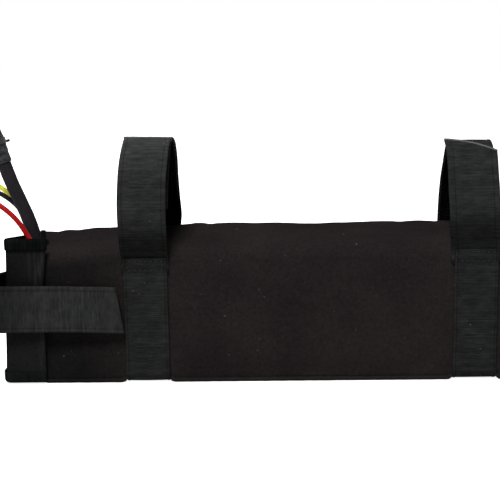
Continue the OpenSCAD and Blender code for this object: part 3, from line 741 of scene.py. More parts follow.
def metal(name, colour, roughness, brushed):
    """Bare metal, brushed along one direction."""
    material, tree, shader, here, uv = start_material(name, roughness, 0.5, 1.0)
    lines = clouds(tree, scaled(tree, here, brushed), 0.0006, 3.0, 0.6)
    surface_colour = mixed(tree, lines, shade(colour, 0.75), colour)
    wire(tree, surface_colour, shader.inputs["Base Color"])
    wire(tree, remap(tree, lines, 0.3, 0.7, roughness - 0.1, roughness + 0.15),
         shader.inputs["Roughness"])
    bump(tree, shader, lines, 0.00002)
    return material


def spongy(name, colour, cell_size):
    """Foam with open cells, or pressed paper and fibre with a smaller one."""
    material, tree, shader, here, uv = start_material(name, 0.95, 0.2)
    cells = tree.nodes.new("ShaderNodeTexVoronoi")
    wire(tree, here, cells.inputs["Vector"])
    cells.inputs["Scale"].default_value = 1 / cell_size
    # Darker in the middle of each cell, where the bump is lowest: painted shade in the pores
    surface_colour = mixed(tree, remap(tree, cells.outputs["Distance"], 0.1, 0.7, 0.0, 1.0),
                 shade(colour, 0.55), colour)
    wire(tree, surface_colour, shader.inputs["Base Color"])
    bump(tree, shader, cells.outputs["Distance"], cell_size * 0.4)
    return material


print("materials so far:", len(bpy.data.materials))

# %% [markdown]
# The cable and wires have the photograph's colours. Inside the bag the pieces have the plain
# colours of their trade: blue sleeves on the cells, a green board, amber and white connectors,
# pale paper and brown fibre. They are not in the photograph, so one call each is enough.

# %% Cable, plastic and metal materials
sleeve = braided_sleeve()
boot_plastic = shrink_tube()
red_silicone = silicone("red wire cover", (0.36, 0.006, 0.006, 1))
black_silicone = silicone("black wire cover", (0.006, 0.006, 0.012, 1))
yellow_silicone = silicone("yellow wire cover", (1.0, 0.98, 0.10, 1))
# The pale colour of the strap ends' beads is a painted highlight
sealed_edge_highlight = moulded("sealed edge highlight", (0.080, 0.082, 0.084, 1), 0.5, 0.1, 0.0001)
tie_plastic = moulded("cable tie plastic", (0.012, 0.012, 0.012, 1), 0.35)
black_plastic = moulded("black plastic", (0.020, 0.020, 0.021, 1))
white_plastic = moulded("white plastic", (0.72, 0.70, 0.62, 1))
connector_plastic = moulded("connector plastic", (0.85, 0.50, 0.04, 1), 0.38)
cell_sleeve = moulded("cell sleeve", (0.03, 0.16, 0.30, 1), 0.3, 0.5, 0.00001)
pack_sleeve = moulded("pack shrink sleeve", (0.012, 0.045, 0.16, 1), 0.28, 0.5, 0.00006)
circuit_board = moulded("circuit board", (0.012, 0.085, 0.035, 1), 0.35)
balance_pvc = moulded("balance wire", (0.50, 0.45, 0.10, 1), 0.4)
nickel = metal("nickel strip", (0.62, 0.60, 0.56, 1), 0.32, (0.1, 1.0, 1.0))
aluminium = metal("aluminium plate", (0.70, 0.71, 0.72, 1), 0.4, (1.0, 0.08, 1.0))
brass = metal("contact brass", (0.78, 0.57, 0.26, 1), 0.25, (0.1, 1.0, 1.0))
foam = spongy("open-cell foam", (0.045, 0.045, 0.047, 1), 0.0011)
insulating_paper = spongy("insulating paper", (0.36, 0.42, 0.30, 1), 0.0004)
fibre_board = spongy("fibre board", (0.38, 0.30, 0.17, 1), 0.0006)
print("materials:", len(bpy.data.materials))

# %% [markdown]
# ## Cords
#
# The thick cable and three thin wires come out of the mouth under the flap's upper edge, rise, and
# arch down to their connectors on the ground, outside the photograph's view. Their routes are the
# ones that the rigid model holds. A cord is a tube bent from a grid: the grid's rows turn round
# the line without twisting, so that a braid stays even.

# %% Routes of the cords, in millimetres
# Each route starts inside the bag and ends at its connector
cable_route = [
    (-150, 0, 52), (-157.4, 0, 61.5), (-162.6, 0, 71), (-164.8, 0, 81), (-168, 0, 91.2),
    (-171.5, 0, 100), (-174.9, 0, 108), (-177.6, 0, 115.5), (-180, 0, 123), (-182.3, 0, 131.5),
    (-185.4, 0, 141), (-191.5, 0, 151), (-201, 0, 158.5), (-213, 0, 162), (-226, 0, 160.5),
    (-238, 0, 154), (-248, 0, 143), (-256, 0, 129), (-262, 0, 113), (-268, -1, 92),
    (-274, -3, 68), (-281, -5.5, 43), (-291, -8, 23), (-306, -10, 9.5), (-326, -12, 4.1),
    (-346, -12, 4.1)]
red_route = [
    (-150, -12, 60), (-158.5, -13, 69), (-164, -14, 80.5), (-170, -14, 90.5), (-178.5, -13, 98.5),
    (-190.5, -11, 105.5), (-204, -7, 110), (-218, -2, 111.5), (-232, 3, 108.5), (-244, 7, 101.5),
    (-254, 9, 92), (-262, 10, 81), (-271, 10, 64), (-279, 10, 44), (-288, 10, 24),
    (-299, 10, 9), (-316, 10, 1.5), (-346, 10, 1.5)]
black_route = [
    (-150, 8, 55), (-158, 8, 63), (-164.8, 8, 72), (-168.2, 8, 80.5), (-171.6, 8, 88.5),
    (-177, 9, 96.5), (-186.5, 9, 103.5), (-200, 11, 107.5), (-214, 13, 108), (-227, 14, 105.5),
    (-240, 15, 100), (-252, 15, 90), (-262, 15, 77), (-271, 15, 60), (-279, 15, 41),
    (-288, 15, 22), (-299, 15, 8), (-316, 15, 1.5), (-346, 15, 1.5)]
yellow_route = [
    (-150, 13, 54), (-159, 13, 62), (-166, 13, 71.5), (-169, 13, 81), (-172.3, 13, 89.5),
    (-177.8, 13, 98), (-186.5, 14, 106), (-199, 16, 112.5), (-212, 18, 114.5), (-226, 19, 112.5),
    (-239, 20, 106.5), (-251, 20, 97), (-261, 20, 84), (-271, 20, 66), (-279, 20, 46),
    (-288, 20, 26), (-299, 20, 10), (-316, 20, 1.5), (-346, 20, 1.5)]
print("cable's highest point:", max(point[2] for point in cable_route), "mm")

# %% [markdown]
# A tube could come from a curve with a bevel, but then its UV map doesn't hold real lengths. Here
# each ring stands across the line, and its first side is carried on from the ring before, which is
# what keeps the tube from twisting. A little wobble takes away the look of a drawn pipe.

# %% Tubes that follow a route
def untwisted(points):
    """At each point, the line's direction and a side that doesn't turn round it."""
    side = Vector((0, 1, 0))
    made = []
    for i in range(len(points)):
        ahead = points[min(i + 1, len(points) - 1)] - points[max(i - 1, 0)]
        ahead.normalize()
        side = (side - side.dot(ahead) * ahead).normalized()
        made.append((ahead, side.copy()))
    return made


def cord_tube(name, route, diameter, material, sides, wobble=0.0, wobble_size=0.003):
    """A round tube along the points of a smooth route, closed at both ends."""
    frames = untwisted(route)
    marks = distances(route)
    rings = len(route) - 1

    def place(s, t):
        i = round(s * rings)
        ahead, side = frames[i]
        turn = 2 * math.pi * t
        out = math.cos(turn) * side + math.sin(turn) * ahead.cross(side)
        radius = diameter / 2
        if wobble:
            radius += wobble * ripple(route[i] + out * diameter, wobble_size)
        return route[i] + radius * out

    mesh = bent_grid(rings, sides, place,
                     lambda s, t: (marks[round(s * rings)], t * math.pi * diameter))
    bmesh.ops.remove_doubles(mesh, verts=mesh.verts, dist=1e-6)
    open_edges = [edge for edge in mesh.edges if edge.is_boundary]
    bmesh.ops.holes_fill(mesh, edges=open_edges, sides=0)
    bmesh.ops.recalc_face_normals(mesh, faces=mesh.faces)
    return finish_mesh(mesh, name, material)


def in_metres(route):
    """A route in millimetres as points in metres."""
    return [Vector(point) * mm for point in route]


def cord_line(route, diameter):
    """The smooth line of a cord, which nowhere sinks into the floor."""
    line = smooth(in_metres(route), 5)
    for point in line:
        point.z = max(point.z, diameter / 2)
    return line


print("cable's route, smoothed:", len(smooth(in_metres(cable_route), 5)), "points")

# %% [markdown]
# The cable is 8 mm thick and fairly stiff. The red, black and yellow wires are 3 mm and limp.

# %% The four cords
cable_d = 8 * mm
wire_d = 3 * mm
cable_line = cord_line(cable_route, cable_d)
cable = cord_tube("cable", cable_line, cable_d, sleeve, 24, 0.12 * mm, 0.006)
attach(cable, "bag")
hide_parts("discharge_cable")
print("cable:", round(distances(cable_line)[-1] / mm), "mm")

wires = {}
for name, route, material, exit_place in (
        ("red_lead", red_route, red_silicone, (-161.8, -13.6, 76)),
        ("black_lead", black_route, black_silicone, (-165.2, 8, 73)),
        ("yellow_lead", yellow_route, yellow_silicone, (-166.2, 13, 72))):
    line = cord_line(route, wire_d)
    wires[name] = cord_tube(name, line, wire_d, material, 12)
    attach(wires[name], "bag")
    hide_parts(name.replace("lead", "wire"))
    length = distances(line)[-1]
    Vector(exit_place) * mm
    print(name + ":", round(length / mm), "mm")

# %% [markdown]
# The shrink tube on the cable has shrunk unevenly over the sleeve's end. Its wrinkles catch the
# light, so a bump alone is too weak, and it is a second tube with a strong small-scale wobble. The
# cable tie is a flat band spun round the cable, a head that is a bevelled box, and a cut tail. It
# is built upright at the origin, where sizes are easy to see, and then turned to the cable.

# %% Shrink tube and cable tie
boot_first = 8
boot_last = 10
boot_d = 9.2 * mm
boot_line = smooth(in_metres(cable_route[boot_first - 1:boot_last + 2]), 12)[12:-12]
boot = cord_tube("shrink_tube", boot_line, boot_d, boot_plastic, 32, 0.55 * mm, 0.0024)
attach(boot, "bag")
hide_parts("cable_boot")

tie_w = 3.6 * mm
tie_t = 1.2 * mm
tie_tail = 3.6 * mm
tie_head = Vector((4.6 * mm, 3.4 * mm, tie_w * 1.25))
tie_ring = 9
tie_place = Vector(cable_route[tie_ring]) * mm
tie_up = (Vector(cable_route[tie_ring + 1]) * mm - tie_place).normalized()
tie_out = Vector((0, 1, 0)).cross(tie_up).normalized()
tie_matrix = Matrix((tie_out, Vector((0, 1, 0)), tie_up)).transposed().to_4x4()
tie_matrix.translation = tie_place + tie_up * tie_w * 1.1


def make_tie():
    """The tie's ring, head and cut tail, built upright and then turned to the cable."""
    mesh = bmesh.new()
    ring_r = boot_d / 2 + 0.35 * mm
    start = bmesh.ops.create_grid(mesh, x_segments=1, y_segments=1, size=0.5)["verts"]
    bmesh.ops.scale(mesh, verts=start, vec=(tie_t * 0.7, tie_w, 1))
    bmesh.ops.rotate(mesh, verts=start, matrix=Matrix.Rotation(math.pi / 2, 3, "X"))
    bmesh.ops.translate(mesh, verts=start, vec=(ring_r, 0, 0))
    bmesh.ops.spin(mesh, geom=mesh.faces[:] + mesh.verts[:] + mesh.edges[:], cent=(0, 0, 0),
                   axis=(0, 0, 1), angle=2 * math.pi, steps=40, use_merge=True)
    doubled = [face for face in mesh.faces if abs(face.normal.z) < 0.1 and face.calc_area() > 0
               and all(abs(vert.co.y) < 1e-7 and vert.co.x > 0 for vert in face.verts)]
    bmesh.ops.delete(mesh, geom=doubled, context="FACES_ONLY")
    head = bmesh.ops.create_cube(mesh, size=1)["verts"]
    bmesh.ops.scale(mesh, verts=head, vec=tie_head)
    bmesh.ops.translate(mesh, verts=head, vec=(0, ring_r + 2.0 * mm, 0))
    tail = bmesh.ops.create_cube(mesh, size=1)["verts"]
    bmesh.ops.scale(mesh, verts=tail, vec=(tie_tail, tie_t * 0.7, tie_w * 0.45))
    bmesh.ops.translate(mesh, verts=tail,
                        vec=((tie_head.x + tie_tail) / 2, ring_r + 1.0 * mm, -tie_w * 0.35))
    corners = [edge for vert in head + tail for edge in vert.link_edges]
    bmesh.ops.bevel(mesh, geom=list(set(corners)), offset=0.3 * mm, segments=2, profile=0.5,
                    affect="EDGES", material=-1)
    bmesh.ops.recalc_face_normals(mesh, faces=mesh.faces)
    bmesh.ops.transform(mesh, matrix=tie_matrix, verts=mesh.verts)
    return finish_mesh(mesh, "tie", tie_plastic, False)


tie = make_tie()
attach(tie, "bag")
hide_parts("cable_tie")
distances(cable_line)[-1]
print("shrink tube:", round(distances(boot_line)[-1] / mm), "mm")
print("tie:", len(tie.data.polygons), "faces")

# %% [markdown]
# ## The bag
#
# The bag is one padded fabric tube, sewn along its lower edges, that lies tight round the pack and
# slumps where the pack ends. Five flat plates would look like a box, so it is a single shell bent
# from a grid: each ring of the grid is a rounded outline, and soft swells, pulls at the straps and
# small puckers move its points along the outline's normal.

# %% The bag's outline
bag_length = bag_high.x - bag_low.x
top_edge_r = 6.5 * mm
low_edge_r = 2.6 * mm
strap_lift = 1.6 * mm

# Shares of the way round, where the walls and rounded edges meet: underside, front, top, back
ring_shares = [0.0, 0.21, 0.245, 0.455, 0.505, 0.715, 0.765, 0.965, 1.0]


def strap_pull(x, reach):
    """1 under a mounting strap and 0 beyond that reach from it."""
    gap = min(abs(x - left_x), abs(x - right_x)) - webbing_w / 2
    return 1 - ease(gap / reach)


# Height of the bag's top along its length, in millimetres: it falls where the pack ends
top_marks = [(-200, 75.2), (-157, 75.3), (-148, 76.8), (-121, 77.6), (-95, 78.2), (-72, 78.9)]
top_slope = 0.02
back_rise = 0.5 * mm


def top_height(x):
    """The height of the bag at a place along its length."""
    here = x / mm
    for (x_a, z_a), (x_b, z_b) in zip(top_marks, top_marks[1:]):
        if here < x_b:
            return (z_a + (z_b - z_a) * max(here - x_a, 0) / (x_b - x_a)) * mm
    return min(top_marks[-1][1] * mm + (x - top_marks[-1][0] * mm) * top_slope, bag_top)


def ring_point(x, t):
    """The point at a share t of the way round the bag, its outward side, wall and share of it."""
    height = top_height(x)
    back = height + back_rise
    floor = strap_lift * strap_pull(x, 1.5 * mm)
    wall = 0
    while t > ring_shares[wall + 1] and wall < 7:
        wall += 1
    share = (t - ring_shares[wall]) / (ring_shares[wall + 1] - ring_shares[wall])
    low_r, top_r = low_edge_r, top_edge_r
    corners = {1: (-bag_half + low_r, floor + low_r, low_r, -90),
               3: (-bag_half + top_r, height - top_r, top_r, 180),
               5: (bag_half - top_r, back - top_r, top_r, 90),
               7: (bag_half - low_r, floor + low_r, low_r, 0)}
    if wall in corners:
        y, z, r, first = corners[wall]
        turn = math.radians(first - 90 * share)
        out = Vector((0, math.cos(turn), math.sin(turn)))
        return Vector((x, y, z)) + out * r, out, wall, share
    if wall == 0:
        y = (bag_half - low_r) * (1 - 2 * share)
        return Vector((x, y, floor)), Vector((0, 0, -1)), 0, share
    if wall == 2:
        z = floor + low_r + (height - top_r - floor - low_r) * share
        return Vector((x, -bag_half, z)), Vector((0, -1, 0)), 2, share
    if wall == 4:
        y = (bag_half - top_r) * (2 * share - 1)
        return Vector((x, y, height + back_rise * share)), Vector((0, 0, 1)), 4, share
    z = back - top_r - (back - top_r - floor - low_r) * share
    return Vector((x, bag_half, z)), Vector((0, 1, 0)), 6, share


print("bag:", round(bag_length / mm), "mm long,", round(2 * bag_half / mm, 1), "mm deep,",
      round(bag_top / mm, 1), "mm high")

# %% [markdown]
# Padding pushes the walls out over the pack, a strap or a patch holds them in, and the end near
# the mouth has nothing behind it and sinks. These are broad, calm shapes, so plain arches and slow
# noise give them. Small puckers run in from the edges, where a seam gathers the cloth.

# %% Swells, pulls and puckers
side_arch = 0.9
side_sink = 1.5
top_arch = 0.7
top_sink = 0.5
pucker_out = 0.16 * mm


def slack(x):
    """0 over the pack, rising to 1 in the slumped end near the mouth."""
    return ease((pack_end_x + 12 * mm - x) / (60 * mm))


def patch_hold(point):
    """1 on the front wall under the closure strap's patch, and 0 away from it."""
    gap_x = max(patch_low.x - point.x, point.x - patch_high.x, 0.0)
    gap_z = max(patch_low.z - point.z, point.z - patch_high.z, 0.0)
    return (1 - ease(math.hypot(gap_x, gap_z) / (9 * mm))) * (point.y < 0)


def swell(point, wall, share):
    """How far the padded wall stands out from its plain outline."""
    loose = 1 - max(strap_pull(point.x, 16 * mm), patch_hold(point))
    soft = slack(point.x)
    arch = math.sin(math.pi * share) if wall in (0, 2, 4, 6) else 0.0
    out = 0.0
    if wall in (2, 6):
        out += (side_arch * (1 - soft) - side_sink * soft) * mm * arch * loose
    if wall == 4:
        out += (top_arch * (1 - soft) - top_sink * soft) * mm * arch * (0.35 + 0.65 * loose)
    broad = ripple(point, 0.045) * 0.55 + ripple(point + Vector((3, 1, 2)), 0.019) * 0.3
    out += broad * mm * (0.25 + 0.75 * loose) * (1 + 1.6 * soft)
    if wall == 0:
        out = min(out, 0.0) * 0.3
    if wall in (1, 7):
        out *= 0.3
    edge = 1 - min(share, 1 - share) * 2 if wall in (2, 4, 6) else 1.0
    pucker = ripple(Vector((point.x, 0.2 * point.y, 0.2 * point.z)), 0.0065)
    out += pucker * pucker_out * edge ** 4 * (wall != 0)
    tied = 0.2 + 0.8 * loose
    if wall == 4:
        tied += (1 - tied) * ease(min(share, 1 - share) * 5)
    return out * tied


print("walls stand out by up to", side_arch, "mm and sink by up to", side_sink, "mm")

# %% [markdown]
# The mouth is cut at a slant: its front edge is set back, its foot and its back edge less so, and
# at the middle there is room for the cable. Cutting the finished shell would break its even grid,
# so each row of the grid starts at the slanted edge instead.

# %% The shell, from the mouth to the closed end
rim_front_x = mouth_front_x - 0.5 * mm
rim_back_x = mouth_back_x - 5 * mm
cable_room = 1.8 * mm
foot_out = 3.2 * mm


def mouth_x(y, z):
    """Where the mouth's edge lies: set back at the front, less so at the foot and at the back."""
    share = (y + bag_half) / (2 * bag_half)
    room = cable_room * (1 - ease((abs(y) - 4 * mm) / (4 * mm)))
    foot = foot_out * (1 - share) * (1 - min(max(z / bag_top, 0.0), 1.0))
    return rim_front_x + (rim_back_x - rim_front_x) * share + room - foot


fabric_t = 2 * mm
bag_rings = 120
bag_around = 96
ring_length = 2 * (2 * bag_half + bag_top)


def bag_place(s, t):
    """The bag's point at a share s of its length and a share t of the way round."""
    middle = ring_point(0.0, t)[0]
    first = mouth_x(middle.y, middle.z)
    x = first + (bag_high.x - first) * s
    point, out, wall, share = ring_point(x, t)
    return point + out * swell(point, wall, share)


def make_bag():
    """The open fabric tube, from the mouth to the seam at the closed end."""
    mesh = bent_grid(bag_rings, bag_around, bag_place,
                     lambda s, t: (s * bag_length, t * ring_length))
    bmesh.ops.remove_doubles(mesh, verts=mesh.verts, dist=1e-6)
    bmesh.ops.recalc_face_normals(mesh, faces=mesh.faces)
    return finish_mesh(mesh, "bag_shell", [bag_cloth, lining_cloth])


print("mouth's foot, front and back:",
      [round(mouth_x(y, 0.0) / mm, 1) for y in (-bag_half, bag_half)], "mm")

# %% [markdown]
# Padded cloth also has small shallow dents and creases. Drawn by hand they look drawn, so Blender's
# cloth simulation makes them: pressure puffs the wall for twenty frames, while straps, seams, patch
# and ground hold it. The result is kept as the shell's own mesh and the simulation is removed. No
# point moves more than 0.9 mm, and hardly any distance inwards, so that the pack never shows.

# %% Let the cloth settle
puff = 12.0
shift_most = 0.9 * mm
sink_most = 0.15 * mm
last_frame = 20


def held(point):
    """1 where a strap, a patch, a seam or the ground holds the fabric, and 0 where it is free."""
    at_mouth = 1 - ease((point.x - mouth_x(point.y, point.z) - 7 * mm) / (6 * mm))
    at_end = ease((point.x - bag_high.x + 9 * mm) / (5 * mm))
    at_straps = strap_pull(point.x, 5 * mm) * (abs(point.y) > bag_half - 4 * mm)
    low = 1 - ease((point.z - 7 * mm) / (5 * mm))
    return max(at_mouth, at_end, at_straps, low, patch_hold(point))


def settle(piece):
    """Lets the cloth puff and wrinkle between its held places."""
    group = piece.vertex_groups.new(name="held")
    for vert in piece.data.vertices:
        group.add([vert.index], held(vert.co), "REPLACE")
    cloth = piece.modifiers.new("cloth", "CLOTH")
    cloth.settings.vertex_group_mass = "held"
    cloth.settings.effector_weights.gravity = 0
    cloth.settings.use_pressure = True
    cloth.settings.uniform_pressure_force = puff
    cloth.settings.shrink_min = -0.025
    cloth.settings.bending_stiffness = 0.2
    cloth.settings.quality = 5
    cloth.point_cache.frame_start = 1
    cloth.point_cache.frame_end = last_frame
    for frame_number in range(1, last_frame + 1):
        bpy.context.scene.frame_set(frame_number)
    settled = piece.evaluated_get(bpy.context.evaluated_depsgraph_get())
    moved = [vert.co.copy() for vert in settled.data.vertices]
    piece.modifiers.remove(cloth)
    bpy.context.scene.frame_set(1)
    shifts = []
    for vert, place in zip(piece.data.vertices, moved):
        shift = place - vert.co
        outward = shift.dot(vert.normal)
        shift += vert.normal * (max(outward, -sink_most) - outward)
        if shift.length > shift_most:
            shift *= shift_most / shift.length
        shift *= 1 - held(vert.co)
        vert.co += shift
        shifts.append(shift.length / mm)
    print(piece.name, "settled by up to", round(max(shifts), 2), "mm, on average",
          round(sum(shifts) / len(shifts), 2))


bag = make_bag()
settle(bag)
thicken(bag, fabric_t * 0.85, -1.0)
bag.modifiers["thickness"].material_offset = 1
finer = bag.modifiers.new("finer", "SUBSURF")
finer.levels = 1
finer.render_levels = 1
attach(bag, "bag")
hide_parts("bag_sleeve")
print("bag shell:", len(bag.data.polygons), "faces")

# %% [markdown]
# The closed end is a separate panel, sewn in all round. A filled hole would give it one flat face
# with no weave direction, so it is a grid of its own, with its corners drawn in to the bag's
# rounded outline. It crowns a little, because foam presses on it from inside.

# %% Closed end
end_crown = 1.3 * mm


def make_end():
    """The closed end: a panel that crowns a little between its seams."""
    inset = 0.6 * mm

    def place(s, t):
        y = (2 * s - 1) * (bag_half - inset)
        z = inset + t * (bag_top - 2 * inset)
        r = top_edge_r
        over_y = max(abs(y) - (bag_half - r), 0.0)
        over_z = max(abs(z - bag_top / 2) - (bag_top / 2 - r), 0.0)
        if over_y and over_z:
            reach = math.hypot(over_y, over_z)
            most = max(over_y, over_z)
            y -= math.copysign(over_y * (1 - most / reach), y)
            z -= math.copysign(over_z * (1 - most / reach), z - bag_top / 2)
        arch = math.sin(math.pi * s) * math.sin(math.pi * t)
        crown = end_crown * arch ** 0.6 if arch > 0 else 0.0
        soft = ripple(Vector((0, y, z)), 0.02) * 0.3 * mm * arch
        return Vector((bag_high.x - 0.2 * mm + crown + soft, y, z))

    mesh = bent_grid(48, 52, place, lambda s, t: (s * 2 * bag_half, t * bag_top))
    face_towards(mesh, Vector((1, 0, 0)))
    return finish_mesh(mesh, "closed_end", bag_cloth)


closed_end = make_end()
thicken(closed_end, 1.6 * mm, -1.0)
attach(closed_end, "bag")
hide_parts("bag_end_panel")
print("closed end:", len(closed_end.data.polygons), "faces")

# %% [markdown]
# ## Tape round the edges
#
# Raw edges are bound with flat tape that is folded over them and sewn through. Seen closely the
# tape is a U with a rounded fold, a little wavy where the stitches pull. One function makes it from
# a line along the edge, which gives the edge's point, the outward side and the way down the wall.

# %% Binding tape
tape_t = 0.5 * mm


def edge_tape(name, edge, length, width, half, along=160):
    """Tape folded over an edge. edge(s) gives the edge's point, the outward side and the way in."""
    # Each point of the fold: how far aside, as a share of half, and how far down, of the width
    fold = [(1.0, 1.0), (1.02, 0.8), (1.04, 0.55), (1.05, 0.3), (1.0, 0.12), (0.75, 0.0),
            (0.35, -0.07), (0.0, -0.09), (-0.35, -0.07), (-0.75, 0.0), (-1.0, 0.12),
            (-1.05, 0.3), (-1.04, 0.55), (-1.02, 0.8), (-1.0, 1.0)]
    steps = len(fold) - 1

    def place(s, t):
        point, out, inward = edge(s)
        aside, down = fold[round(t * steps)]
        wave = ripple(point + Vector((7, 5, 3)), 0.006)
        pull = ripple(point + out * down * 0.01, 0.004)
        aside = aside * half + math.copysign(0.14 * mm * pull * down, aside)
        return point + out * aside + inward * (down * width * (1 + 0.06 * wave))

    mesh = bent_grid(along, steps, place, lambda s, t: (s * length, t * 2 * width))
    bmesh.ops.recalc_face_normals(mesh, faces=mesh.faces)
    return thicken(finish_mesh(mesh, name, binding_cloth), tape_t)


print("tape:", round(tape_t / mm, 1), "mm thick")

# %% [markdown]
# ## The end flap
#
# The flap is one panel that starts at a seam on the bag's back wall, closes the mouth and laps over
# the front. Its plan is a straight end, a rounded corner and a tab. The cloth is stiff, so the
# sheet keeps that plan with no simulation. Its free edge draws in at mid height, upright folds run
# beside that edge, its foot stands out a little, and its faces are uneven.

# %% The flap's plan
flap_t = 1.5 * mm
flap_mid_x = flap_low.x + flap_t / 2
flap_mid_y = flap_low.y + flap_t / 2
flap_back_y = flap_high.y
flap_tab_x = flap_high.x
flap_corner_r = 3.25 * mm
flap_front_top = 84.5 * mm
flap_back_top = 72.5 * mm
flap_foot_out = 3.8 * mm
edge_draw = 2.6 * mm
edge_curl = 0.5 * mm
fold_depth = 0.55
tape_w = 6 * mm
tape_half = 1.25 * mm


def flap_plan():
    """The flap's line seen from above, from the back seam round the corner to the tab's edge."""
    corner = Vector((flap_mid_x + flap_corner_r, flap_mid_y + flap_corner_r, 0))
    back = [Vector((flap_mid_x, flap_back_y + (corner.y - flap_back_y) * k / 40, 0))
            for k in range(40)]
    turn = [corner + flap_corner_r * Vector((-math.cos(a), -math.sin(a), 0))
            for a in (math.radians(9 * k) for k in range(11))]
    front = [Vector((corner.x + (flap_tab_x - corner.x) * k / 16, flap_mid_y, 0))
             for k in range(1, 17)]
    return back + turn + front


flap_line = flap_plan()
flap_marks = distances(flap_line)
flap_length = flap_marks[-1]


def flap_top(y):
    """The height of the flap's upper edge, which falls towards the back."""
    share = (y + bag_half) / (2 * bag_half)
    return flap_front_top + (flap_back_top - flap_front_top) * min(max(share, 0.0), 1.0)


def flap_lean(y, z):
    """How far the flap's lower part stands out to the left of its plan, most at the front."""
    return flap_foot_out * (1 - z / flap_front_top) * ease((20 * mm - y) / (30 * mm))


def flap_point(distance, z):
    """The point on the flap's middle surface, and its outward side."""
    height = (z - flap_low.z) / (flap_front_top - flap_low.z)
    on_tab = ease((distance - (flap_length - 20 * mm)) / (20 * mm))
    arch = math.sin(math.pi * min(max(height, 0.0), 1.0))
    distance -= edge_draw * arch ** 2 * (0.35 + 0.65 * height) * on_tab
    point, ahead = walk(flap_line, flap_marks, distance)
    out = Vector((ahead.y, -ahead.x, 0))
    here = Vector((point.x - flap_lean(point.y, z) * (1 - 0.1 * on_tab), point.y, z))
    soft = ripple(here, 0.028) * 0.35 + ripple(here + Vector((4, 4, 4)), 0.011) * 0.12
    folds = ripple(Vector((distance, 0, z * 0.15)), 0.0045) * on_tab
    soft += fold_depth * folds * ease((z - 35 * mm) / (15 * mm))
    beyond_seam = ease(distance / (10 * mm))
    curl = edge_curl * ease((distance - (flap_length - 6 * mm)) / (6 * mm)) * arch
    return here + out * (soft * mm * beyond_seam * (0.4 + 0.6 * arch) + curl), out


print("flap's line:", len(flap_line), "points")

# %% [markdown]
# The flap's sheet is a grid on that surface, with a thickness from a Solidify modifier. Tape binds
# its upper and lower edges. The three move as one, so all three are attached to the flap's body.

# %% Flap sheet and its tapes
def flap_place(s, t):
    """The flap's point at a share s of the way round and a share t of its height."""
    distance = s * flap_length
    plain = walk(flap_line, flap_marks, distance)[0]
    low = flap_low.z + 0.2 * mm
    z = low + t * (flap_top(plain.y) - 0.6 * mm - low)
    return flap_point(distance, z)[0]


flap_mesh = bent_grid(84, 56, flap_place, lambda s, t: (s * flap_length, t * flap_front_top))
flap = finish_mesh(flap_mesh, "flap_panel", flap_cloth)
thicken(flap, flap_t * 0.8)


def flap_upper_edge(s):
    """The flap's upper edge, the outward side and the way down."""
    plain = walk(flap_line, flap_marks, s * flap_length)[0]
    point, out = flap_point(s * flap_length, flap_top(plain.y))
    return point, out, Vector((0, 0, -1))


def flap_lower_edge(s):
    """The flap's lower edge, the outward side and the way up."""
    point, out = flap_point(s * flap_length, flap_low.z + 0.4 * mm)
    return point, out, Vector((0, 0, 1))


flap_upper_tape = edge_tape("flap_upper_tape", flap_upper_edge, flap_length, tape_w, tape_half)
flap_lower_tape = edge_tape("flap_lower_tape", flap_lower_edge, flap_length, tape_w * 0.95,
                            tape_half)
for piece, node, finish in ((flap, "end_flap", "flap_fabric"),
                            (flap_upper_tape, "flap_top_binding", "binding_tape"),
                            (flap_lower_tape, "flap_bottom_binding", "binding_tape")):
    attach(piece, "flap")
    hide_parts(node)
print("flap:", round(flap_length / mm), "mm round")

# %% [markdown]
# The flap turns about its seam at the back. A strip of tape covers that seam on the outside. Two
# strips that meet would gape, so it is one strip, upright along the seam's line.


def seam_strip(name, points, z_low, z_high, thickness):
    """An upright strip of tape along a plan line."""
    line = smooth(in_metres(points), 6)
    marks = distances(line)

    def place(s, t):
        point, ahead = walk(line, marks, s * marks[-1])
        wave = ripple(Vector((point.x, point.y, t * 0.07)), 0.008) * 0.12 * mm
        return Vector((point.x - wave * ahead.y, point.y + wave * ahead.x,
                       z_low + (z_high - z_low) * t))

    mesh = bent_grid(40, 40, place, lambda s, t: (t * (z_high - z_low), s * marks[-1]))
    return thicken(finish_mesh(mesh, name, binding_cloth), thickness)


hinge_tape = seam_strip("hinge_tape", [(-156, 36.5, 0), (-161, 36.6, 0), (-165.5, 36.7, 0),
                                       (-169, 36.9, 0), (-171.6, 36.7, 0), (-172.7, 35, 0),
                                       (-172.8, 31, 0), (-172.8, 26, 0)],
                        4 * mm, 68 * mm, 0.6 * mm)
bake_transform(hinge_tape)
print("hinge tape:", len(hinge_tape.data.polygons), "faces")

# %% [markdown]
# The mouth's raw edge is bound in the same tape. It follows the shell's own outline and swell, so
# the two never part, and it is kept just above the ground under the bag.

# %% Tape round the mouth
rim_least_z = 1.75 * mm


def mouth_edge(s):
    """The rim of the bag's mouth, the outward side and the way back along the wall."""
    middle = ring_point(0.0, s)[0]
    point, out, wall, share = ring_point(mouth_x(middle.y, middle.z), s)
    rim = point + out * (swell(point, wall, share) - fabric_t / 2)
    rim.z = max(rim.z, rim_least_z)
    return rim, out, Vector((1, 0, 0))


mouth_tape = edge_tape("mouth_tape", mouth_edge, ring_length, 3 * mm, fabric_t / 2 + 0.3 * mm, 200)
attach(mouth_tape, "bag")
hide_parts("mouth_binding")
print("mouth tape:", round(ring_length / mm), "mm round")

# %% [markdown]
# Piping is a cord wrapped in tape and sewn into the seam round the closed end. Its ring is closed,
# so the two ends of the grid are merged instead of capped.

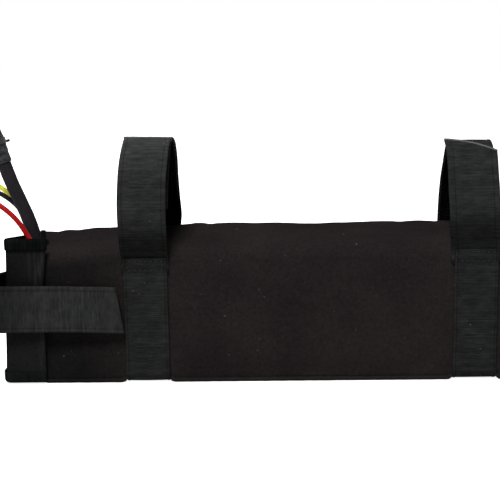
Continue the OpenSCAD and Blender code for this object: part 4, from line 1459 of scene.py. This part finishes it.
# %% Piping round the closed end
def make_piping():
    """A thin corded seam round the closed end."""
    radius = 1.2 * mm

    def place(s, t):
        point, out = ring_point(bag_high.x, s)[:2]
        turn = 2 * math.pi * t
        middle = point - out * radius * 1.08 + Vector((radius * 0.1, 0, 0))
        round_it = math.cos(turn) * out + math.sin(turn) * Vector((1, 0, 0))
        uneven = 1 + 0.06 * ripple(point, 0.004)
        return middle + radius * uneven * round_it

    mesh = bent_grid(240, 12, place, lambda s, t: (s * ring_length, t * 2 * math.pi * radius))
    bmesh.ops.remove_doubles(mesh, verts=mesh.verts, dist=1e-6)
    bmesh.ops.recalc_face_normals(mesh, faces=mesh.faces)
    return finish_mesh(mesh, "closed_end_piping", binding_cloth)


piping = make_piping()
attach(piping, "bag")
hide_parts("end_piping")
print("piping:", len(piping.data.polygons), "faces")

# %% [markdown]
# The bag's side walls are joined to its underside by turned-in seams, which show as a thin ridge
# just above the ground. A crease in the shell would need a far finer mesh, so each seam is a thin
# tube along the edge. Where a strap passes over it, it is pressed in and up.

# %% Lower seams
seam_r = 1.25 * mm
seam_steps = 240


def lower_seam(name, side):
    """The turned-in seam along a lower edge, pressed flat where a strap passes over it."""
    first = mouth_x(side * bag_half, 0.0) + 4 * mm
    route = []
    for k in range(seam_steps + 1):
        x = first + (bag_high.x - 2 * mm - first) * k / seam_steps
        pressed = strap_pull(x, 2 * mm)
        soft = ripple(Vector((x, 0, 5)), 0.012) * 0.12 * mm
        route.append(Vector((x, side * (bag_half + 0.35 * mm - 1.7 * mm * pressed + soft),
                             seam_r + 0.1 * mm + 1.6 * mm * pressed)))
    seam = cord_tube(name, route, 2 * seam_r, bag_cloth, 10, 0.1 * mm, 0.004)
    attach(seam, "bag")
    print(name + ":", round(distances(route)[-1] / mm), "mm")


lower_seam("front_lower_seam", -1)
lower_seam("back_lower_seam", 1)

# %% [markdown]
# ## Webbing straps
#
# A strap is woven flat, 25 mm wide, with a thicker selvage along each edge. A flat sheet with a
# thickness would have square edges, so the section is drawn once and carried along the strap's
# line. The faces on the inner side carry the hooks and get the second material. Where an end is cut
# at a slant, each point of the section stops at its own distance.

# %% Section of the webbing
drawn_w = 25

# Across the strap and out from its middle, in millimetres
webbing_half = [(-12.5, 0.0), (-12.4, 0.42), (-12.05, 0.74), (-11.5, 0.82), (-10.9, 0.8),
                (-10.45, 0.6), (-9.6, 0.66), (-6.0, 0.7), (-2.0, 0.72), (2.0, 0.72), (6.0, 0.7),
                (9.6, 0.66), (10.45, 0.6), (10.9, 0.8), (11.5, 0.82), (12.05, 0.74),
                (12.4, 0.42), (12.5, 0.0)]
webbing_section = webbing_half + [(across, -out) for across, out in webbing_half[-2:0:-1]]
ring_pitch = 1.6 * mm


def webbing(name, points, width, sideways, slant=0.0, steep=1.0, inner=1, wave=0.35 * mm,
            cloth=webbing_cloth):
    """A strap along a line. sideways is the way across it, and slant shortens one end corner.
    inner is 1 or -1 for the side that carries the hooks."""
    line = smooth(in_metres(points), 6)
    marks = distances(line)
    count = len(webbing_section)
    rings = max(int(marks[-1] / ring_pitch), 12)
    sideways = Vector(sideways)

    def spot(s, t):
        across, out = webbing_section[round(t * count) % count]
        cut = slant * max(0.5 + across / drawn_w, 0.0) ** steep
        return across * mm * width / drawn_w, out * mm, s * (marks[-1] - cut)

    def place(s, t):
        across, out, distance = spot(s, t)
        point, ahead = walk(line, marks, distance)
        face = ahead.cross(sideways)
        soft = ripple(point + sideways * across * 0.6 + Vector((2, 6, 1)), 0.016) * wave
        narrow = 1 + 0.008 * ripple(Vector((distance, 3, 7)), 0.012)
        return point + sideways * across * narrow + face * (out + soft)

    def hooked(s, t):
        middle = 8.5 / count if inner > 0 else 25.5 / count
        return int(abs(t - middle) < 4.2 / count)

    mesh = bent_grid(rings, count, place, lambda s, t: (spot(s, t)[2], spot(s, t)[0]), hooked)
    bmesh.ops.remove_doubles(mesh, verts=mesh.verts, dist=1e-6)
    rims = [edge for edge in mesh.edges if edge.is_boundary]
    bmesh.ops.holes_fill(mesh, edges=rims, sides=0)
    bmesh.ops.recalc_face_normals(mesh, faces=mesh.faces)
    return finish_mesh(mesh, name, [cloth, hook_tape_and_shade])


print("webbing section:", len(webbing_section), "points")

# %% [markdown]
# Webbing is cut with a hot knife, which melts the threads into a thin bead, so that they don't
# fray. The bead is coloured pale as a painted highlight, where the cut edge catches the light. It
# could be a bevel on the strap's end, but the bead is thicker than the strap and uneven, so it is a
# short tube along the cut.

# %% Sealed end of a strap
bead_d = 1.5 * mm


def sealed_end(name, points, width, sideways, slant, steep):
    """The bead along a strap's cut end."""
    line = smooth(in_metres(points), 6)
    marks = distances(line)
    route = []
    for k in range(25):
        across = k / 24
        point, ahead = walk(line, marks, marks[-1] - slant * across ** steep)
        out = ahead.cross(Vector(sideways))
        route.append(point + Vector(sideways) * (across - 0.5) * width * mm - out * 0.4 * mm)
    return cord_tube(name, route, bead_d, sealed_edge_highlight, 12, 0.15 * mm, 0.002)


print("bead on a cut end:", round(bead_d / mm, 1), "mm thick")

# %% [markdown]
# A box of stitches holds each strap to the bag. One stitch is a tiny long bead that lies half in
# the cloth. Each is a low icosphere, stretched and turned to the row, and the whole row is one
# mesh, because hundreds of separate objects would slow everything down.

# %% Stitches
stitch_pitch = 3.0 * mm
stitch_long = 2.1


def stitch_row(name, points, out, body):
    """A row of stitches along a line in millimetres. out is the side they stand out from."""
    line = in_metres(points)
    marks = distances(line)
    out = Vector(out)
    mesh = bmesh.new()
    for k in range(int(marks[-1] / stitch_pitch)):
        point, ahead = walk(line, marks, (k + 0.5) * stitch_pitch)
        made = bmesh.ops.create_icosphere(mesh, subdivisions=1, radius=0.5)["verts"]
        sides = (ahead * stitch_long, out.cross(ahead) * 0.5, out * 0.45)
        matrix = Matrix(sides).transposed() * mm
        matrix = matrix.to_4x4()
        matrix.translation = point
        bmesh.ops.transform(mesh, matrix=matrix, verts=made)
    bmesh.ops.recalc_face_normals(mesh, faces=mesh.faces)
    piece = finish_mesh(mesh, name, thread)
    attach(piece, body)
    return piece


print("one stitch every", round(stitch_pitch / mm, 1), "mm")

# %% [markdown]
# A mounting strap runs under the bag as one band and up both walls, where it is sewn on up to a
# few millimetres below the bag's top. From there a front tab and a back loop stand up and lean over
# each other. The two shapes are drawn as shares of the bag's depth and of the loop's rise, so they
# can be compared with the photograph without knowing the scale.

# %% Lines of the mounting straps, in millimetres
strap_y = 37.05
sewn_y = 36.85
seam_gap = 0.5
under_z = 1.05
under_r = 3.9

# Shares of the depth from back to front, and of the loop's rise above its seam
left_loop_shares = [
    (0, 0), (0.002, 0.055), (0.02, 0.145), (0.07, 0.25), (0.13, 0.35), (0.18, 0.46), (0.21, 0.575),
    (0.23, 0.69), (0.28, 0.8), (0.36, 0.89), (0.46, 0.94), (0.56, 0.955), (0.66, 0.925),
    (0.75, 0.845), (0.83, 0.74), (0.895, 0.63), (0.95, 0.515), (0.99, 0.41)]
left_tab_shares = [
    (1, 0), (1.025, 0.05), (1.07, 0.14), (1.105, 0.24), (1.12, 0.35), (1.117, 0.455),
    (1.092, 0.57), (1.045, 0.68), (0.972, 0.78), (0.88, 0.865), (0.777, 0.93), (0.67, 0.976)]
right_loop_shares = [
    (0, 0), (-0.002, 0.1), (0.006, 0.22), (0.035, 0.34), (0.095, 0.47), (0.176, 0.6), (0.27, 0.735),
    (0.361, 0.85), (0.439, 0.913), (0.52, 0.935), (0.6, 0.915), (0.665, 0.865), (0.727, 0.79),
    (0.78, 0.705), (0.826, 0.61), (0.865, 0.515), (0.9, 0.43), (0.925, 0.36)]
right_tab_shares = [
    (1, 0), (1.001, 0.05), (1.007, 0.125), (1.013, 0.2), (1.005, 0.283), (0.979, 0.375),
    (0.941, 0.475), (0.9, 0.583), (0.862, 0.687), (0.824, 0.783), (0.774, 0.867), (0.696, 0.927),
    (0.628, 0.96)]

# The sewn part's upper end lies over the free part's start, which lifts it off the wall
overlap = 8
lifted = 1.65


def base_line(x, top):
    """The sewn part: down the front from its top, under the bag and up the back."""
    wall = [(sewn_y + lifted * ease((z - top + overlap) / 3), z)
            for z in (top, top - 2, top - 4, top - 6, top - overlap, top - 11, top - 20)]
    wall += [(sewn_y, z) for z in (top - 35, 30, 15, under_z + under_r + 3, under_z + under_r)]
    turn = [(sewn_y - under_r + under_r * math.sin(a), under_z + under_r - under_r * math.cos(a))
            for a in (math.radians(22.5 * k) for k in (3, 2, 1))]
    under = [(y, under_z) for y in (sewn_y - under_r, 24, 12)]
    half = wall + turn + under
    return ([(x, -y, z) for y, z in half] + [(x, 0, under_z)]
            + [(x, y, z) for y, z in reversed(half)])


def free_line(x, shares, top, rise, side, aside):
    """The free part: it starts behind the sewn part's top, follows the loop and leans aside."""
    start = [(x, side * sewn_y, top - overlap + 0.4 + k * (overlap - 1.4) / 3) for k in range(4)]
    return start + [(x + aside * ease(up * 5), strap_y - 2 * strap_y * across,
                     top + seam_gap + rise * up) for across, up in shares]


print("points of the loops:", len(left_loop_shares), "and", len(right_loop_shares))

# %% [markdown]
# Both straps are made in the same way from a row of values. The left one stands a little lower,
# where the bag slumps. The right tab is cut at a strong slant.

# %% Mounting straps
mounting_straps = [
    {"side": "left", "x": left_x / mm, "top": 73.5, "rise": 66, "cut": 1.0,
     "tab": (left_tab_shares, -1, 27, 0.3), "loop": (left_loop_shares, 1, 25, 1.3)},
    {"side": "right", "x": right_x / mm, "top": 77.5, "rise": 60, "cut": 12.0,
     "tab": (right_tab_shares, -1, 29, -1.2), "loop": (right_loop_shares, 1, 25, 0.4)}]
steepness = 1.5
stitch_half = 10

for strap_values in mounting_straps:
    side_name, x, top = strap_values["side"], strap_values["x"], strap_values["top"]
    base = webbing(f"{side_name}_sewn_part", base_line(x, top), 25, (1, 0, 0), inner=-1,
                   wave=0.2 * mm)
    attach(base, "bag")
    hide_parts(f"{side_name}_strap_base")
    for part in ("tab", "loop"):
        shares, side, width, aside = strap_values[part]
        cut = strap_values["cut"] * mm if part == "tab" else 0.0
        line = free_line(x, shares, top, strap_values["rise"], side, aside)
        strap = webbing(f"{side_name}_{part}_webbing", line, width, (-side, 0, 0), slant=cut,
                        steep=steepness)
        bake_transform(strap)
        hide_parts(f"{side_name}_strap_{part}")
        if part == "tab":
            bead = sealed_end(f"{side_name}_tab_end", line, width, (-side, 0, 0), cut, steepness)
            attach(bead, f"{side_name}_tab")
        sewn = side * (sewn_y + lifted + 0.72)
        corners = [(x - stitch_half, top - 1.6), (x + stitch_half, top - 1.6),
                   (x + stitch_half, top - 6.6), (x - stitch_half, top - 6.6),
                   (x - stitch_half, top - 1.6)]
        stitch_row(f"{side_name}_{part}_stitches", [(across, sewn, z) for across, z in corners],
                   (0, side, 0), "bag")
        print(strap.name + ":", len(strap.data.polygons), "faces")

# %% [markdown]
# ## The closure strap
#
# This strap is sewn upright on the flap's end, swings out in a loose loop and comes round to the
# front, where its hook side sticks. The rigid model has it in two pieces, but one band can't be cut
# in the middle of a bend, so here it is one piece of webbing that bends at its front turn. Its line
# is drawn from above, with a small lift of its own at each point.

# %% Closure strap
closure_z = (closure_tip_low.z / mm + closure_tip_high.z / mm) / 2

# From above, in millimetres, and how far the strap is lifted there
closure_plan = [
    (-173.05, 21.6, 1.0), (-173.05, 13.7, 1.0), (-173.05, 7.2, 1.1), (-175.9, -2.2, 1.3),
    (-181.7, -13, 1.6), (-188, -25.2, 1.9), (-191.05, -36, 2.1), (-186, -45.1, 2.1),
    (-178, -46, 1.9), (-166, -44.2, 1.5), (-153, -42.2, 1.0), (-141, -40.8, 0.5),
    (-125, -40.3, 0), (-105.8, -41.5, -0.3)]
closure_points = [(x, y, closure_z + lift) for x, y, lift in closure_plan]
closure = webbing("closure_strap_whole", closure_points, 27, (0, 0, 1), slant=4.2 * mm, inner=-1,
                  cloth=closure_cloth)

# Where the strap lies on the flap's end, it leans out with it
for vert in closure.data.vertices:
    on_flap = ease((vert.co.y + 30 * mm) / (20 * mm))
    vert.co.x -= flap_lean(vert.co.y, vert.co.z) * on_flap
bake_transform(closure)
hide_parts("closure_strap", "closure_strap_tip")
print("closure strap:", len(closure.data.polygons), "faces")

# %% [markdown]
# The closure strap needs something to stick to: a patch of the fastener's other half, sewn on the
# front wall under it. It is hidden in the photograph, so a plain rectangle is all that is known.

# %% Hook patch
def make_patch():
    """The patch of hook tape that the closure strap sticks to."""
    width = patch_high.x - patch_low.x
    height = patch_high.z - patch_low.z
    face_y = patch_low.y + 0.35 * mm

    def place(s, t):
        x, z = patch_low.x + s * width, patch_low.z + t * height
        return Vector((x, face_y + 0.12 * mm * ripple(Vector((x, 0, z)), 0.009), z))

    mesh = bent_grid(40, 28, place, lambda s, t: (s * width, t * height))
    return thicken(finish_mesh(mesh, "closure_patch", hook_tape_and_shade), 0.7 * mm)


patch = make_patch()
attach(patch, "bag")
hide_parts("hook_patch")
print("hook patch:", len(patch.data.polygons), "faces")

# %% [markdown]
# ## Foam inside the bag
#
# The foam pad and the two foam blocks are soft, so they get rounded corners and slightly uneven
# faces. Nobody sees more of them than an edge behind the open flap, so a bevelled box, divided and
# pressed in by noise, is enough. They stay under the bag's falling top.

# %% Foam pieces
wall_room = 2.6 * mm


def make_foam(name, node):
    """A foam block with rounded edges in the space of its node."""
    low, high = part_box(node)
    inset = 0.3 * mm
    size = high - low - 2 * Vector((inset, inset, inset))
    middle = (low + high) / 2
    edge_r = min(size) * 0.22
    mesh = bmesh.new()
    corners = bmesh.ops.create_cube(mesh, size=1)["verts"]
    bmesh.ops.scale(mesh, verts=corners, vec=size)
    bmesh.ops.bevel(mesh, geom=mesh.edges[:], offset=edge_r, segments=5, profile=0.5,
                    affect="EDGES", material=-1)
    bmesh.ops.translate(mesh, verts=mesh.verts, vec=middle)
    long_edges = [edge for edge in mesh.edges if edge.calc_length() > 6 * mm]
    bmesh.ops.subdivide_edges(mesh, edges=long_edges, cuts=7, use_grid_fill=True)
    for vert in mesh.verts:
        roof = top_height(vert.co.x) - wall_room
        share = (vert.co.z - low.z) / (high.z - low.z)
        vert.co.z = low.z + share * (min(high.z - inset, roof) - low.z)
        squeeze = 0.35 * mm * ripple(vert.co, 0.014)
        vert.co += (middle - vert.co).normalized() * max(squeeze, 0)
    return finish_mesh(mesh, name, foam)


for name, node in (("end_pad", "end_foam"), ("front_foam", "front_foam_block"),
                   ("back_foam", "back_foam_block")):
    piece = make_foam(name, node)
    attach(piece, "bag")
    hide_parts(node)
    print(name + ":", len(piece.data.polygons), "faces")

# %% [markdown]
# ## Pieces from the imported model
#
# What the bag holds has plain true shapes, such as cells, strips, boards and plugs. Remaking them
# would add nothing, so those nodes stay as they are and only get finishes. They come into view when
# the flap is open.

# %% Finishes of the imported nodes
def finish_nodes(material, names):
    """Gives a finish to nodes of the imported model."""
    for name in names:
        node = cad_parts[name]
        for index in range(max(len(node.material_slots), 1)):
            if not node.material_slots:
                node.data.materials.append(material)
            node.material_slots[index].material = material


finish_nodes(cell_sleeve, [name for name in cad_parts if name.startswith("cell_group")])
finish_nodes(nickel, ["front_nickel_strips", "back_nickel_strips"])
finish_nodes(insulating_paper, ["front_insulation", "back_insulation"])
finish_nodes(pack_sleeve, ["pack_wrap"])
finish_nodes(fibre_board, ["end_board"])
finish_nodes(aluminium, ["bms_plate"])
finish_nodes(black_plastic, ["bms_transistors", "temperature_probe", "signal_plug"])
finish_nodes(circuit_board, ["bms_board"])
finish_nodes(white_plastic, ["balance_socket", "balance_plug"])
finish_nodes(balance_pvc, ["balance_wires"])
finish_nodes(red_silicone, ["positive_lead"])
finish_nodes(black_silicone, ["negative_lead"])
finish_nodes(connector_plastic, ["discharge_plug"])
finish_nodes(brass, ["discharge_contacts", "signal_pins"])
print("nodes in use:", len(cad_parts))

# %% [markdown]
# ## Floor, light and world
#
# The photograph is cut out on white. A pale floor that catches a soft shadow gives the same look
# and keeps the object on the ground. The floor is white only for camera rays and for rays that a
# glossy or clear surface sends on, so its white adds no light to the object.

# %% Floor
floor_r = 4.0
floor_glow = 0.87


def sees_background(tree):
    """1 for rays from the camera, from gloss and through glass."""
    rays = tree.nodes.new("ShaderNodeLightPath")
    seen = compute(tree, "MAXIMUM", rays.outputs["Is Camera Ray"], rays.outputs["Is Glossy Ray"])
    return compute(tree, "MAXIMUM", seen, rays.outputs["Is Transmission Ray"])


def make_floor():
    """A wide round floor."""
    mesh = bmesh.new()
    bmesh.ops.create_circle(mesh, cap_ends=True, segments=96, radius=floor_r)
    floor_material, tree, shader, here, uv = start_material("floor", 1.0, 0.0)
    shader.inputs["Base Color"].default_value = (0.80, 0.80, 0.80, 1)
    shader.inputs["Emission Color"].default_value = (1, 1, 1, 1)
    wire(tree, times(tree, sees_background(tree), floor_glow), shader.inputs["Emission Strength"])
    floor = finish_mesh(mesh, "floor", floor_material, False)
    return floor


floor = make_floor()
print("floor:", floor_r, "m")

# %% [markdown]
# The world behind the floor is white to the same rays. To all others it is a weak even light that
# lifts the shadows, as the white room round a studio table does.

# %% World
ambient = 0.15
world = bpy.data.worlds.new("studio")
world.use_nodes = True
bpy.context.scene.world = world
world_tree = world.node_tree
background = world_tree.nodes["Background"]
background.inputs["Color"].default_value = plain_white
seen = sees_background(world_tree)
wire(world_tree, compute(world_tree, "MULTIPLY_ADD", seen, 1 - ambient, ambient),
     background.inputs["Strength"])
print("ambient light:", ambient)

# %% [markdown]
# The photograph's light comes from above and in front, and a weaker light from behind shows the
# straps' rounded tops. Two square area lamps do this. Their strength is set so that a colour on
# the bag's front renders about as it is written, because brighter lamps over darker colours would
# give a model that is too dark in any other scene.

# %% Lamps
lamp_aim = Vector((0, 0, 0.06))


def soft_lamp(name, place, size, watts):
    """A square area lamp that faces the bag, with its side in metres."""
    data = bpy.data.lights.new(name, "AREA")
    data.size = size
    data.energy = watts
    lamp = bpy.data.objects.new(name, data)
    lamp.location = place
    towards = lamp_aim - Vector(place)
    lamp.rotation_mode = "QUATERNION"
    lamp.rotation_quaternion = towards.to_track_quat("-Z", "Y")
    bpy.context.scene.collection.objects.link(lamp)
    print(name + ":", watts, "W")


soft_lamp("back lamp", (-0.45, 1.0, 0.9), 0.8, 11)
soft_lamp("front lamp", (-0.2, -0.8, 1.25), 0.4, 23.5)
bpy.context.scene.view_settings.view_transform = "Standard"
